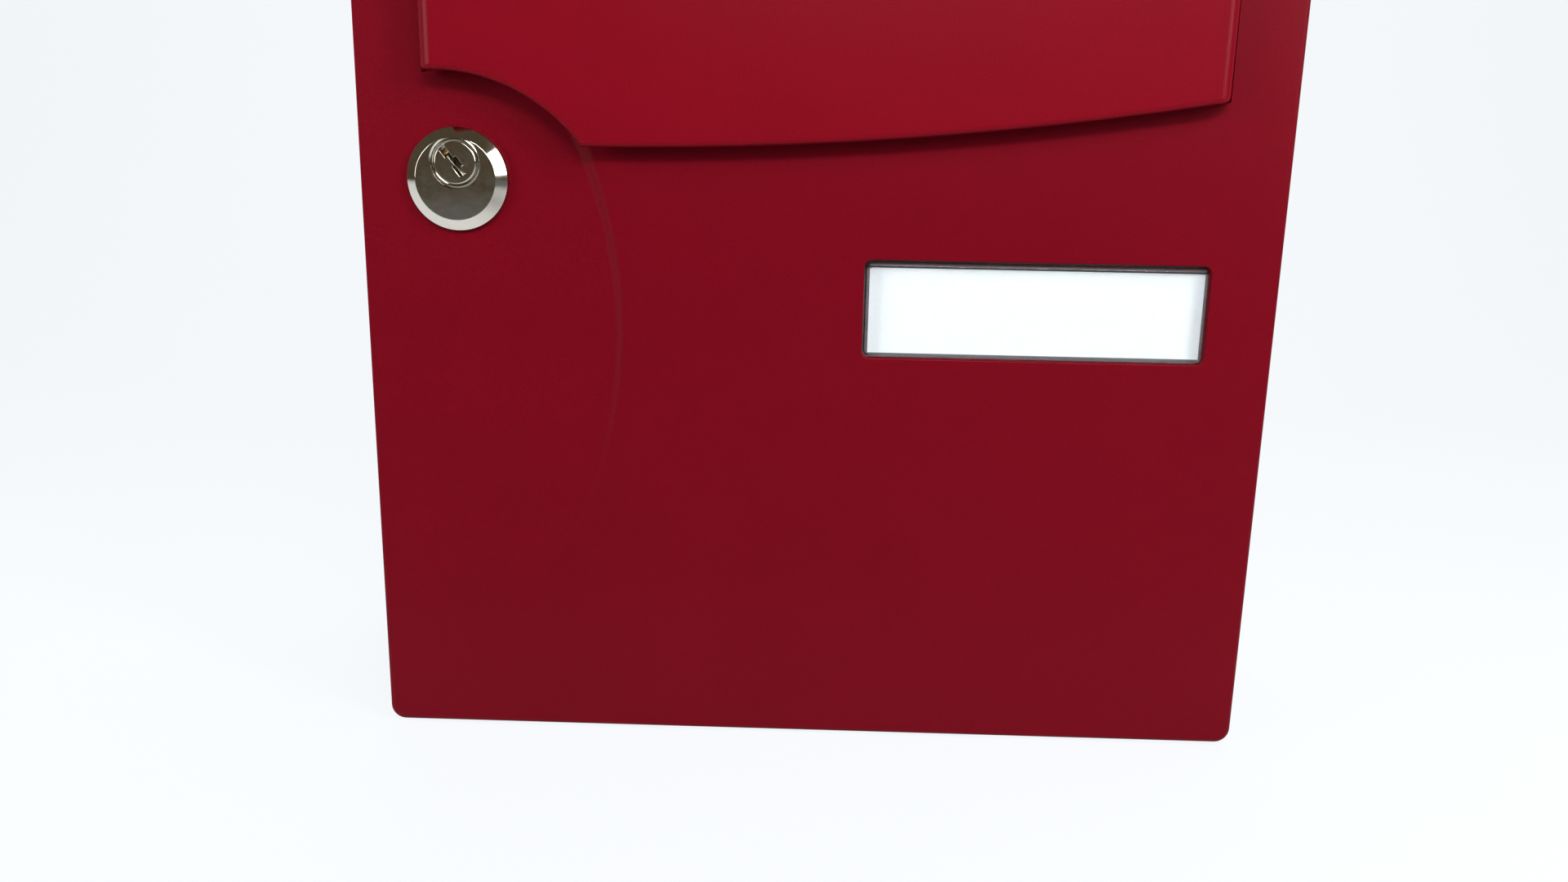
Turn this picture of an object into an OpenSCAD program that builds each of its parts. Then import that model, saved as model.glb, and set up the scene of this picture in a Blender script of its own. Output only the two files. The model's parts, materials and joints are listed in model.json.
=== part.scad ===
// Wall letter box: a moulded door with a wide letter flap, a cam lock and a name window,
// hung on a folded sheet housing that is fixed to the wall through its back.
// The front faces -Y, the wall is at +Y, and the housing stands on z = 0.
// Door pieces are drawn in the door's own frame: y = 0 on its front plane, z = 0 at its lower edge.

/* [Door] */
// Width of the door
door_w = 256; // [246:1:280]
// Height of the door
door_h = 326; // [316:1:350]
// Depth of the door from its front plane to the back edge of its skirt
door_d = 16; // [15:0.5:19]
// Thickness of the front skin
door_skin = 3; // [2.6:0.1:3.4]
// Thickness of the skirt round the door
door_wall = 2.5; // [2:0.1:2.9]
// Corner radius seen from the front
door_corner_r = 4.5; // [4.4:0.1:7]
// Rounding of the front edge
door_edge_r = 2.2; // [1:0.1:2.2]
// Gap between the door's skirt and the housing
door_gap = 0.8; // [0.6:0.1:1.6]
// Height of the door's lower edge above the housing's bottom
door_lift = 0.8; // [0.5:0.1:2]
// Thickness of the ribs behind the door
rib_t = 1.2; // [0.8:0.1:1.6]
// Height of the ribs behind the door
rib_h = 5; // [2:0.5:6]

/* [Arc step] */
// Radius of the arc that steps the lock side back
step_r = 132; // [122:1:138]
// Distance of the arc's centre outside the door's left edge
step_out = 60.6; // [55:0.1:68]
// Height of the arc's centre
step_z = 123.2; // [115:0.1:130]
// Depth of the step where the flap's lower corner stands
step_depth = 1.4; // [0.6:0.1:1.6]
// Height at which the step has run out to nothing
step_fade_z = 42; // [30:1:60]
// Width of the sloped band for each millimetre of step depth
step_run = 2; // [1:0.1:3]

/* [Mail slot] */
// Width of the slot in the door
slot_w = 200; // [180:1:204]
// Height of the slot in the door
slot_h = 34; // [28:1:40]
// Middle of the slot below the door's top edge
slot_down = 94; // [88:1:100]
// Corner radius of the slot
slot_r = 4; // [2:0.5:6]
// Thickness of the lip round the slot behind the door
slot_lip_t = 1.8; // [1.2:0.1:2.4]
// Depth of the lip behind the skin
slot_lip_h = 7; // [4:0.5:9]

/* [Flap] */
// Width of the flap
flap_w = 216; // [212:1:224]
// Top edge of the flap below the door's top edge
flap_down = 18; // [12:1:24]
// How far the flap's face stands out of the door's front plane
flap_proud = 7.5; // [7.1:0.1:9]
// Wall thickness of the flap
flap_wall = 2; // [1.6:0.1:2]
// Rounding of the flap's side edges
flap_side_r = 4; // [2.5:0.1:5]
// Height of the flap's lowest point
flap_low_z = 171.6; // [168:0.1:175]
// Radius of the flap's long lower edge
flap_bottom_r = 1050; // [900:10:1200]
// Lowest point of the lower edge, left of the door's middle
flap_low_x = 66.5; // [60:0.1:72]
// Radius of the cut-out over the lock
flap_cut_r = 49; // [46:0.1:51]
// Centre of the cut-out inside the flap's left edge
flap_cut_in = 4.3; // [2:0.1:7]
// Height of the cut-out's centre
flap_cut_z = 141.9; // [140:0.1:144]
// Gap between the flap's side walls and the door
flap_gap = 0.5; // [0.4:0.1:0.8]
// Gap between the flap's rounded top and the door
barrel_gap = 0.3; // [0.3:0.05:0.5]
// Height of the stiffening ribs inside the flap
flap_rib_h = 1.5; // [0.8:0.1:1.6]
// Distance between the outer hinge knuckles
knuckle_pitch = 150; // [120:2:170]
// Width of each hinge knuckle
knuckle_w = 10; // [7:0.5:14]
// Width of each lug in the flap beside a knuckle
lug_w = 4; // [3:0.5:6]
// Diameter of the flap's hinge rod
flap_rod_d = 2.5; // [2:0.1:2.6]
// Distance between the rubber buffers behind the flap
buffer_pitch = 116; // [110:1:130]
// Height of the rubber buffers above the door's lower edge
buffer_z = 200; // [198:1:204]
// Radius of the rubber buffers
buffer_r = 4; // [3:0.5:5]
// Thickness of the rubber buffers
buffer_t = 1.5; // [1:0.1:2]

/* [Name window] */
// Width of the window opening
win_w = 96; // [84:1:98]
// Height of the window opening
win_h = 27.4; // [22:0.2:29]
// Middle of the window inside the door's right edge
win_in = 67.2; // [65:0.1:72]
// Height of the window's middle
win_z = 129.1; // [127:0.1:134]
// Corner radius of the window opening
win_r = 2; // [1:0.1:3]
// Bevel of the clear cover's front edge
win_bevel = 1.2; // [0.6:0.1:1.6]
// How far the cover's face lies behind the door's front plane
win_sink = 0.5; // [0.2:0.1:0.8]
// Width of the cover's flange behind the door
win_flange = 3; // [2:0.1:4]
// Thickness of the cover's flange
win_flange_t = 1.2; // [0.8:0.1:1.6]
// Thickness of the name card
card_t = 0.3; // [0.2:0.05:0.5]
// Dark margin of the tray that shows round the card
card_margin = 1.5; // [1:0.1:2.5]
// Thickness of the tray behind the card
tray_t = 1.5; // [1:0.1:2]
// Length of the tray's finger tab
tray_tab = 6; // [4:0.5:7]

/* [Lock] */
// Lock centre inside the door's left edge
lock_in = 27.6; // [27:0.1:32]
// Height of the lock centre
lock_z = 162.6; // [160:0.1:165]
// Diameter of the lock's head
head_d = 28; // [27:0.1:29]
// Diameter of the head's flat face
face_d = 22.2; // [22:0.1:23]
// Height of the head above its seat
head_h = 4; // [3.6:0.1:5]
// Straight rim of the head below its bevel
head_rim = 2; // [1.6:0.1:2.4]
// Depth of the flat seat below the door's front plane
seat_depth = 1.5; // [1.5:0.1:1.8]
// Diameter of the threaded barrel
barrel_d = 22; // [21.4:0.1:22.4]
// Width across the barrel's two flats
barrel_flats = 20; // [18.6:0.1:20.4]
// How far the plug sits above the lock's centre
plug_up = 4.4; // [4:0.1:4.5]
// Diameter of the plug's front disc
plug_face_d = 12.4; // [11.6:0.1:12.4]
// Bevel round the plug's front disc
plug_bevel = 0.6; // [0.3:0.1:0.8]
// Countersink in the head round the plug
plug_sunk = 0.9; // [0.5:0.1:1.1]
// Diameter of the plug
plug_d = 10.4; // [10:0.1:10.8]
// Running clearance of shafts and pins, on the radius
run_fit = 0.05; // [0.02:0.01:0.08]
// Turn of the keyway from level
key_turn = -52; // [-70:1:-30]
// Number of wafers in the plug
wafer_count = 5; // [3:1:5]
// Thickness of a wafer
wafer_t = 0.8; // [0.6:0.1:0.9]
// Back face of the boss behind the skin
boss_y = 6; // [5:0.5:7]
// Thickness of the lock's washer
lock_washer_t = 1; // [0.6:0.1:1.4]
// Thickness of the lock's nut
lock_nut_t = 4; // [3:0.5:5]
// Width across the flats of the lock's nut
lock_nut_flats = 27; // [26:0.5:28]
// Gap between the cam and the housing's lip
cam_gap = 0.5; // [0.4:0.1:1]
// Reach of the cam from the plug's axis
cam_reach = 24; // [20:0.5:24]
// Width of the cam
cam_w = 13; // [11:0.5:14]
// Metal left round the cam's square hole
cam_rim = 4.5; // [3.5:0.1:4.5]
// Thickness of the cam
cam_t = 2; // [1.5:0.1:2.5]
// Side of the square drive that carries the cam
drive_w = 7; // [6.5:0.1:7.1]
// Diameter of the cam's screw
cam_screw_d = 4; // [3:0.5:4]

/* [Housing] */
// How far the housing's sides stand inside the door's edge
housing_in = 1.5; // [1.4:0.1:3]
// Depth of the housing
housing_d = 85.7; // [70:0.1:130]
// Thickness of the steel sheet
sheet_t = 1; // [0.8:0.1:1.2]
// Radius of the folded corners
fold_r = 3; // [2:0.5:4]
// Width of the lip round the housing's front
lip_w = 13; // [12:0.5:13.5]
// Depth of the back panel's folded edge
hem_d = 12; // [10:0.5:16]
// Gap between the back panel and the housing
panel_fit = 0.1; // [0.05:0.05:0.2]
// Radius of the back panel's two stiffening beads
bead_r = 6; // [4:0.5:8]
// How far the beads stand into the housing
bead_h = 2.5; // [1.5:0.1:3]
// Length of the beads
bead_len = 200; // [150:5:240]
// Distance between the beads
bead_pitch = 90; // [60:5:120]
// Diameter of the wall fixing holes
fix_d = 6; // [5:0.5:8]
// Distance between the fixing holes, side to side
fix_w = 180; // [160:5:200]
// Distance between the fixing holes, up and down
fix_h = 240; // [220:5:260]

/* [Door hinge] */
// Hinge axis inside the door's right edge
axis_in = 7; // [6.9:0.1:7.5]
// Hinge axis behind the door's front plane
axis_y = 8; // [8:0.1:8.3]
// Height of the hinge leaves from the door's top and bottom
leaf_in = 45; // [44:1:60]
// Thickness of the hinge leaf
leaf_t = 1.5; // [1.2:0.1:2]
// Half width of the leaf where it passes the housing's lip
leaf_half = 3; // [2.8:0.1:3.1]
// Radius of the leaf's eye and of the door's hinge lugs
eye_r = 4; // [3.5:0.1:4.1]
// Diameter of the hinge pin
hinge_pin_d = 4; // [3:0.1:4.2]
// Height of each hinge lug on the door
hinge_lug_h = 6; // [4:0.5:8]
// Gap above and below the leaf
leaf_gap = 0.3; // [0.25:0.05:0.5]
// Length of the bracket's leg along the housing's side
leg_len = 32; // [32:1:40]
// Height of the bracket's leg
leg_h = 14; // [12:0.5:18]
// Diameter of the rivet shanks
rivet_d = 3.2; // [2.8:0.1:3.6]
// Diameter of the rivet heads
rivet_head_d = 6.4; // [5.5:0.1:7]
// Height of the rivet heads
rivet_head_h = 1.2; // [0.9:0.1:1.3]
// Distance of the first bracket rivet behind the housing's front
leg_rivet_in = 12; // [11:0.5:13]
// Distance between the two rivets of a bracket
leg_rivet_pitch = 14; // [12:0.5:15]

/* [Hidden] */
$fn = 96;

red_plastic = [0.50, 0.02, 0.08];
red_steel = [0.46, 0.03, 0.08];
zinc = [0.70, 0.71, 0.72];
nickel = [0.78, 0.77, 0.73];
brass = [0.78, 0.62, 0.30];
dark_rubber = [0.08, 0.08, 0.08];
clear_plastic = [0.86, 0.90, 0.92, 0.5];
paper_white = [0.95, 0.96, 0.97];

// Overshoot of cuts past the faces that they open
over = 1;
// Depth to which added lumps sink into the wall that carries them
sink = 0.5;

// Places in the row's frame, where the whole depth is centred on y = 0
total_d = flap_proud + door_d + door_gap + housing_d;
panel_y = flap_proud - total_d / 2;
housing_y = panel_y + door_d + door_gap;
back_y = housing_y + housing_d;
housing_w = door_w - 2 * housing_in;
housing_h = door_h + 2 * door_lift;

// Places in the door's frame
lock_x = lock_in - door_w / 2;
win_x = door_w / 2 - win_in;
slot_z = door_h - slot_down;
axis_x = door_w / 2 - axis_in;
leaf_zs = [leaf_in, door_h - leaf_in];
lip_back = door_d + door_gap + sheet_t;
step_x = -door_w / 2 - step_out;
step_tilt = atan(step_depth / (flap_low_z - step_fade_z));

// Flap: its rounded top is a barrel round the hinge rod
barrel_r = (flap_proud - barrel_gap) / 2;
rod_y0 = -barrel_gap - barrel_r;
rod_z = door_h - flap_down - barrel_r;
knuckle_r = barrel_r - 0.3;
knuckle_xs = [-knuckle_pitch / 2, 0, knuckle_pitch / 2];
knuckle_side_gap = 0.3;
rod_half = flap_w / 2 - flap_wall / 2;
rib_low_z = buffer_z + buffer_r + 4;

// Warded section of the keyway with its length level, in shares of the plug's diameter
KEYWAY = [
    [-0.54, -0.13],
    [-0.24, -0.13],
    [-0.24, -0.05],
    [0.04, -0.05],
    [0.04, -0.13],
    [0.38, -0.13],
    [0.38, 0.05],
    [0.18, 0.05],
    [0.18, 0.13],
    [-0.12, 0.13],
    [-0.12, 0.05],
    [-0.54, 0.05]
];

// Lock: stations along the barrel, measured from the door's front plane
head_y = seat_depth - head_h;
cam_y = lip_back + cam_gap;
barrel_end = cam_y - 0.3;
plug_sink = 0.2;
plug_face_t = 2;
wafer_pitch = 2;
wafer_y = 1.5;
wafer_gap = 0.1;
keyway_end = wafer_y + wafer_count * wafer_pitch + 0.5;
cam_washer_t = 0.8;
cam_head_h = 2.4;
drive_gap = 0.1;

// Name window: stations behind the front plane
flange_y = door_skin;
card_y = flange_y + win_flange_t;
tray_y = card_y + card_t;
stack_end = tray_y + tray_t;
stack_w = win_w + 2 * win_flange;
stack_h = win_h + 2 * win_flange;
win_fit = 0.3;
hook_gap = 0.2;
hook_t = 1.4;
rail_t = 2;
hook_over = 2.3;

// Housing: inside faces and rivet places
wall_x = housing_w / 2 - sheet_t;
leg_y = housing_y + sheet_t + 0.3;
leaf_depth = 10;
leg_rivet_ys = [housing_y + leg_rivet_in, housing_y + leg_rivet_in + leg_rivet_pitch];
hem_rivet_y = back_y - hem_d / 2;
hem_rivet_zs = [housing_h * 0.13, housing_h * 0.5, housing_h * 0.87];
rivet_tail_h = 1.2;
rivet_tail_r = rivet_d / 2 + 0.8;

// Place children in the door's frame
module in_door() {
    translate([0, panel_y, door_lift]) children();
}

// Extrude a drawing of x and z along y
module along_y(y0, y1) {
    translate([0, y1, 0]) rotate([90, 0, 0]) linear_extrude(y1 - y0) children();
}

// Extrude a drawing of y and z along x
module along_x(x0, x1) {
    translate([x0, 0, 0]) rotate([90, 0, 90]) linear_extrude(x1 - x0) children();
}

// Round bar along y
module bar_y(r, y0, y1) {
    translate([0, y0, 0]) rotate([-90, 0, 0]) cylinder(r = r, h = y1 - y0);
}

// Round bar along x
module bar_x(r, x0, x1) {
    translate([x0, 0, 0]) rotate([0, 90, 0]) cylinder(r = r, h = x1 - x0);
}

// Rectangle about the origin with round corners
module rounded(w, h, r) {
    square([w - 2 * r, h], center = true);
    square([w, h - 2 * r], center = true);
    for (sx = [-1, 1], sz = [-1, 1]) {
        translate([sx * (w / 2 - r), sz * (h / 2 - r)]) circle(r);
    }
}

// Section of a plate whose two front edges are rounded: length across, y into the plate
module plate_section(length, depth, r) {
    translate([-length / 2 + r, 0]) square([length - 2 * r, depth]);
    translate([-length / 2, r]) square([length, depth - r]);
    for (s = [-1, 1]) {
        translate([s * (length / 2 - r), r]) circle(r);
    }
}

// Plate with round corners and a rounded front edge, its middle at the origin
module soft_plate(w, h, depth, corner_r, edge_r) {
    translate([0, 0, -h / 2 + corner_r]) linear_extrude(h - 2 * corner_r) plate_section(w, depth, edge_r);
    along_x(-w / 2 + corner_r, w / 2 - corner_r) mirror([1, -1]) plate_section(h, depth, edge_r);
    for (sx = [-1, 1], sz = [-1, 1]) {
        translate([sx * (w / 2 - corner_r), 0, sz * (h / 2 - corner_r)]) rotate([-90, 0, 0])
            rotate_extrude() {
                square([corner_r - edge_r, depth]);
                translate([0, edge_r]) square([corner_r, depth - edge_r]);
                translate([corner_r - edge_r, edge_r]) circle(edge_r);
            }
    }
}

// Cutter that steps the lock side back along an arc, deepest at the flap and running out below
module arc_step_cutter() {
    ahead = 2;
    behind = 3;
    intersection() {
        translate([step_x, -ahead, step_z]) rotate([-90, 0, 0])
            cylinder(
                r1 = step_r + step_run * (step_depth / 2 + ahead),
                r2 = step_r + step_run * (step_depth / 2 - behind),
                h = ahead + behind,
                $fn = 360
            );
        translate([0, 0, step_fade_z]) rotate([-step_tilt, 0, 0])
            translate([-door_w, -2 * ahead, 0]) cube([2 * door_w, 2 * ahead, door_h]);
    }
}

// Stiffening ribs behind the lower part and beside the lock
module door_ribs() {
    low = door_wall - sink;
    top_z = win_z - stack_h / 2 - win_fit - rail_t - 2;
    y0 = door_skin - sink;
    y1 = door_skin + rib_h;
    for (i = [-1, 0, 1]) {
        translate([i * door_w / 4 - rib_t / 2, y0, low]) cube([rib_t, y1 - y0, top_z - low]);
    }
    for (i = [1, 2, 3]) {
        translate([-door_w / 2 + low, y0, top_z * i / 3 - rib_t])
            cube([door_w - 2 * low, y1 - y0, rib_t]);
    }
    translate([-door_w / 12 - rib_t / 2, y0, top_z - rib_t])
        cube([rib_t, y1 - y0, slot_z - slot_h / 2 - top_z + rib_t]);
}

// Rails behind the window that hold the cover, the card and the tray
module window_rails() {
    half = stack_h / 2 + win_fit;
    y0 = door_skin - sink;
    y1 = stack_end + hook_gap + hook_t;
    translate([win_x, 0, win_z]) {
        for (s = [0, 1]) {
            mirror([0, 0, s]) {
                translate([-stack_w / 2 - win_fit, y0, half]) cube([stack_w + win_fit, y1 - y0, rail_t]);
                translate([-stack_w / 2 - win_fit, y1 - hook_t, half - hook_over])
                    cube([stack_w + win_fit, hook_t, hook_over + rail_t]);
            }
        }
        translate([-stack_w / 2 - win_fit - rail_t, y0, -half - rail_t])
            cube([rail_t, y1 - y0, 2 * (half + rail_t)]);
    }
}

// Two lugs on the door above and below one hinge leaf
module door_hinge_lugs(leaf_z) {
    for (z0 = [leaf_z - leaf_gap - hinge_lug_h, leaf_z + leaf_t + leaf_gap]) {
        translate([axis_x, axis_y, z0]) {
            cylinder(r = eye_r, h = hinge_lug_h);
            translate([-eye_r, -axis_y + door_skin - sink, 0])
                cube([eye_r + axis_in - door_wall + sink, axis_y - door_skin + sink, hinge_lug_h]);
        }
    }
}

// Knuckles on the door's face that carry the flap's rod
module flap_knuckles() {
    for (x = knuckle_xs) {
        translate([x, rod_y0, rod_z]) {
            bar_x(knuckle_r, -knuckle_w / 2, knuckle_w / 2);
            translate([-knuckle_w / 2, 0, -knuckle_r]) cube([knuckle_w, sink - rod_y0, 2 * knuckle_r]);
        }
    }
}

module door_panel() {
    color(red_plastic) in_door() difference() {
        union() {
            difference() {
                translate([0, 0, door_h / 2]) soft_plate(door_w, door_h, door_d, door_corner_r, door_edge_r);
                translate([0, 0, door_h / 2]) along_y(door_skin, door_d + over)
                    rounded(door_w - 2 * door_wall, door_h - 2 * door_wall, door_corner_r - door_wall);
                arc_step_cutter();
            }
            door_ribs();
            window_rails();
            for (z = leaf_zs) {
                door_hinge_lugs(z);
            }
            flap_knuckles();
            translate([lock_x, 0, lock_z]) bar_y(head_d / 2 + 2, door_skin - sink, boss_y);
            translate([0, 0, slot_z]) along_y(door_skin - sink, door_skin + slot_lip_h)
                rounded(slot_w + 2 * slot_lip_t, slot_h + 2 * slot_lip_t, slot_r + slot_lip_t);
        }
        // Mail slot and window opening
        translate([0, 0, slot_z]) along_y(-over, door_skin + slot_lip_h + over) rounded(slot_w, slot_h, slot_r);
        translate([win_x, 0, win_z]) along_y(-over, door_skin + over) rounded(win_w, win_h, win_r);
        // Seat and double-D hole of the lock
        translate([lock_x, 0, lock_z]) {
            bar_y(head_d / 2 + 0.4, -over, seat_depth);
            along_y(-over, boss_y + over) intersection() {
                circle(barrel_d / 2 + 0.15);
                square([barrel_flats + 0.3, barrel_d + 2], center = true);
            }
        }
        // Hinge bores, slots for the leaves and the relief that lets the skirt swing
        for (z = leaf_zs) {
            translate([axis_x, axis_y, z - hinge_lug_h - over])
                cylinder(r = hinge_pin_d / 2 + run_fit, h = 2 * (hinge_lug_h + over) + leaf_t);
            translate([axis_x + 2, door_skin, z - 2 * leaf_gap])
                cube([axis_in, door_d, leaf_t + 4 * leaf_gap]);
        }
        translate([axis_x - 1, axis_y + eye_r, -over])
            cube([axis_in + 1 + over, door_d, door_h + 2 * over]);
        // Bore for the flap's rod and holes for the buffers
        translate([0, rod_y0, rod_z]) bar_x(flap_rod_d / 2 + run_fit, -flap_w / 2, flap_w / 2);
        for (s = [-1, 1]) {
            translate([s * buffer_pitch / 2, 0, buffer_z]) bar_y(buffer_r * 0.4, -over, door_skin + over);
        }
    }
}

// Outline of the flap from the front: a long shallow arc below and a cut-out over the lock
module flap_outline() {
    difference() {
        intersection() {
            translate([-flap_w / 2, flap_low_z - over]) square([flap_w, door_h - flap_down - flap_low_z + over]);
            translate([-flap_low_x, flap_low_z + flap_bottom_r]) circle(flap_bottom_r, $fn = 720);
        }
        translate([-flap_w / 2 + flap_cut_in, flap_cut_z]) circle(flap_cut_r, $fn = 180);
    }
}

// Flap as a solid block, drawn in by a value from its front and sides
module flap_block(inset, back_y0) {
    round_r = flap_side_r - inset;
    intersection() {
        translate([0, -flap_proud + inset, 0]) linear_extrude(door_h)
            plate_section(flap_w - 2 * inset, 2 * flap_proud, round_r);
        along_x(-flap_w / 2, flap_w / 2) {
            translate([rod_y0, rod_z]) circle(barrel_r - inset);
            translate([-flap_proud + inset, 0]) square([flap_proud - inset + back_y0, rod_z]);
        }
    }
}

module flap() {
    lip_h = 1.5;
    color(red_plastic) in_door() difference() {
        union() {
            difference() {
                intersection() {
                    flap_block(0, -flap_gap);
                    along_y(-2 * flap_proud, flap_proud) flap_outline();
                }
                // The hollow is open to the door, apart from the lip behind the rounded top
                difference() {
                    flap_block(flap_wall, over);
                    translate([-flap_w / 2, rod_y0 + barrel_r - flap_wall, rod_z - lip_h])
                        cube([flap_w, flap_proud, lip_h + barrel_r]);
                }
            }
            // Lugs that carry the rod beside each knuckle
            intersection() {
                flap_block(0, -flap_gap);
                for (x = knuckle_xs, s = [0, 1]) {
                    translate([x, 0, 0]) mirror([s, 0, 0])
                        translate([knuckle_w / 2 + knuckle_side_gap, -flap_proud, rod_z - barrel_r])
                            cube([lug_w, flap_proud, 3 * barrel_r]);
                }
            }
            // Stiffening ribs and the two bosses that meet the buffers
            for (i = [-2, -1, 1, 2]) {
                translate([i * flap_w / 5.4 - rib_t / 2, -flap_proud + flap_wall - sink, rib_low_z])
                    cube([rib_t, flap_rib_h + sink, rod_z - barrel_r - rib_low_z]);
            }
            translate([-flap_w / 2 + flap_wall - sink, -flap_proud + flap_wall - sink, rib_low_z])
                cube([flap_w - 2 * flap_wall + 2 * sink, flap_rib_h + sink, rib_t]);
            for (s = [-1, 1]) {
                translate([s * buffer_pitch / 2, 0, buffer_z])
                    bar_y(buffer_r - 0.5, -flap_proud + flap_wall - sink, -buffer_t - 0.3);
            }
        }
        // Notches round the door's knuckles
        for (x = knuckle_xs) {
            translate([x - knuckle_w / 2 - knuckle_side_gap, -2 * flap_proud, rod_z - knuckle_r - 0.6])
                cube([knuckle_w + 2 * knuckle_side_gap, 3 * flap_proud, 3 * barrel_r + over]);
        }
        // Bore of the rod, open at the right side for fitting it
        translate([0, rod_y0, rod_z]) bar_x(flap_rod_d / 2 + run_fit, -rod_half - 0.2, flap_w / 2 + over);
    }
}

module flap_rod() {
    color(zinc) in_door() translate([0, rod_y0, rod_z]) bar_x(flap_rod_d / 2, -rod_half, rod_half);
}

// Two rubber discs with a stem through the door's skin
module flap_buffers() {
    color(dark_rubber) in_door() for (s = [-1, 1]) {
        translate([s * buffer_pitch / 2, 0, buffer_z]) {
            bar_y(buffer_r, -buffer_t, 0);
            bar_y(buffer_r * 0.4 - run_fit, -sink, door_skin + 0.9);
            bar_y(buffer_r * 0.6, door_skin + 0.1, door_skin + 0.9);
        }
    }
}

// Head with a bevelled rim and an off-centre bore, and a barrel with two flats
module lock_body() {
    color(nickel) in_door() translate([lock_x, 0, lock_z]) difference() {
        union() {
            rotate([-90, 0, 0]) rotate_extrude() polygon([
                [0, head_y],
                [face_d / 2, head_y],
                [head_d / 2, seat_depth - head_rim],
                [head_d / 2, seat_depth],
                [0, seat_depth]
            ]);
            along_y(seat_depth - sink, barrel_end) intersection() {
                circle(barrel_d / 2);
                square([barrel_flats, barrel_d + 2], center = true);
            }
        }
        translate([0, 0, plug_up]) {
            bar_y(plug_face_d / 2 + run_fit, head_y - over, head_y + plug_sink + plug_face_t + 0.3);
            bar_y(plug_d / 2 + run_fit, head_y, barrel_end + over);
            translate([0, head_y - over, 0]) rotate([-90, 0, 0])
                cylinder(
                    r1 = plug_face_d / 2 + run_fit + plug_sunk + over,
                    r2 = plug_face_d / 2 + run_fit,
                    h = plug_sunk + over
                );
        }
    }
}

module lock_washer() {
    color(zinc) in_door() translate([lock_x, 0, lock_z]) difference() {
        bar_y(lock_nut_flats / 2 + 1, boss_y, boss_y + lock_washer_t);
        bar_y(barrel_d / 2 + 0.1, boss_y - over, boss_y + lock_washer_t + over);
    }
}

module lock_nut() {
    y0 = boss_y + lock_washer_t;
    color(nickel) in_door() translate([lock_x, 0, lock_z]) difference() {
        along_y(y0, y0 + lock_nut_t) circle(lock_nut_flats / 2 / cos(30), $fn = 6);
        bar_y(barrel_d / 2 + run_fit, y0 - over, y0 + lock_nut_t + over);
    }
}

// Place children on the plug's axis
module on_plug() {
    in_door() translate([lock_x, 0, lock_z + plug_up]) children();
}

module lock_plug() {
    face_y = head_y + plug_sink;
    slot_w_across = plug_d * 0.62;
    color(nickel) on_plug() difference() {
        union() {
            bar_y(plug_face_d / 2, face_y + plug_bevel, face_y + plug_face_t);
            translate([0, face_y, 0]) rotate([-90, 0, 0])
                cylinder(r1 = plug_face_d / 2 - plug_bevel, r2 = plug_face_d / 2, h = plug_bevel);
            bar_y(plug_d / 2, face_y + plug_face_t - sink, cam_y);
            along_y(cam_y - sink, cam_y + cam_t - drive_gap) square(drive_w, center = true);
        }
        along_y(face_y - over, keyway_end) rotate(key_turn) polygon([for (p = KEYWAY) p * plug_d]);
        for (i = [0:wafer_count - 1]) {
            along_y(wafer_y + i * wafer_pitch, wafer_y + i * wafer_pitch + wafer_t + 2 * wafer_gap)
                rotate(key_turn) square([plug_d + 1, slot_w_across], center = true);
        }
        bar_y(cam_screw_d / 2 + run_fit, keyway_end + 1, cam_y + cam_t + over);
    }
}

// Wafers drawn in flush with the plug, as the key holds them
module lock_wafers() {
    color(brass) on_plug() for (i = [0:wafer_count - 1]) {
        y0 = wafer_y + i * wafer_pitch + wafer_gap;
        along_y(y0, y0 + wafer_t) rotate(key_turn) difference() {
            intersection() {
                square([plug_d, plug_d * 0.62 - 2 * wafer_gap], center = true);
                circle(plug_d / 2 - 0.1);
            }
            square([plug_d * 0.76, plug_d * 0.3], center = true);
        }
    }
}

// Flat arm that turns behind the housing's lip; it hangs down when unlocked
module lock_cam() {
    tip_r = cam_w / 2;
    color(zinc) on_plug() along_y(cam_y, cam_y + cam_t) difference() {
        union() {
            circle(drive_w / 2 + cam_rim);
            translate([0, tip_r - cam_reach]) circle(tip_r);
            translate([-tip_r, tip_r - cam_reach]) square([cam_w, cam_reach - tip_r]);
        }
        square(drive_w + 2 * run_fit, center = true);
    }
}

module cam_washer() {
    y0 = cam_y + cam_t;
    color(zinc) on_plug() difference() {
        bar_y(drive_w * 0.5 + 2.5, y0, y0 + cam_washer_t);
        bar_y(cam_screw_d / 2 + 0.1, y0 - over, y0 + cam_washer_t + over);
    }
}

// Pan-head screw with a cross recess
module cam_screw() {
    y0 = cam_y + cam_t + cam_washer_t;
    color(zinc) on_plug() difference() {
        union() {
            bar_y(cam_screw_d / 2, keyway_end + 1.5, y0 + sink);
            bar_y(cam_screw_d * 0.95, y0, y0 + cam_head_h);
        }
        for (a = [0, 90]) {
            along_y(y0 + cam_head_h - 1.2, y0 + cam_head_h + over) rotate(a) square([4, 0.9], center = true);
        }
    }
}

// Section of the clear cover with a bevelled front edge
module bevelled_section(length, depth, bevel) {
    polygon([
        [-length / 2, depth],
        [-length / 2, bevel],
        [-length / 2 + bevel, 0],
        [length / 2 - bevel, 0],
        [length / 2, bevel],
        [length / 2, depth]
    ]);
}

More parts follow.
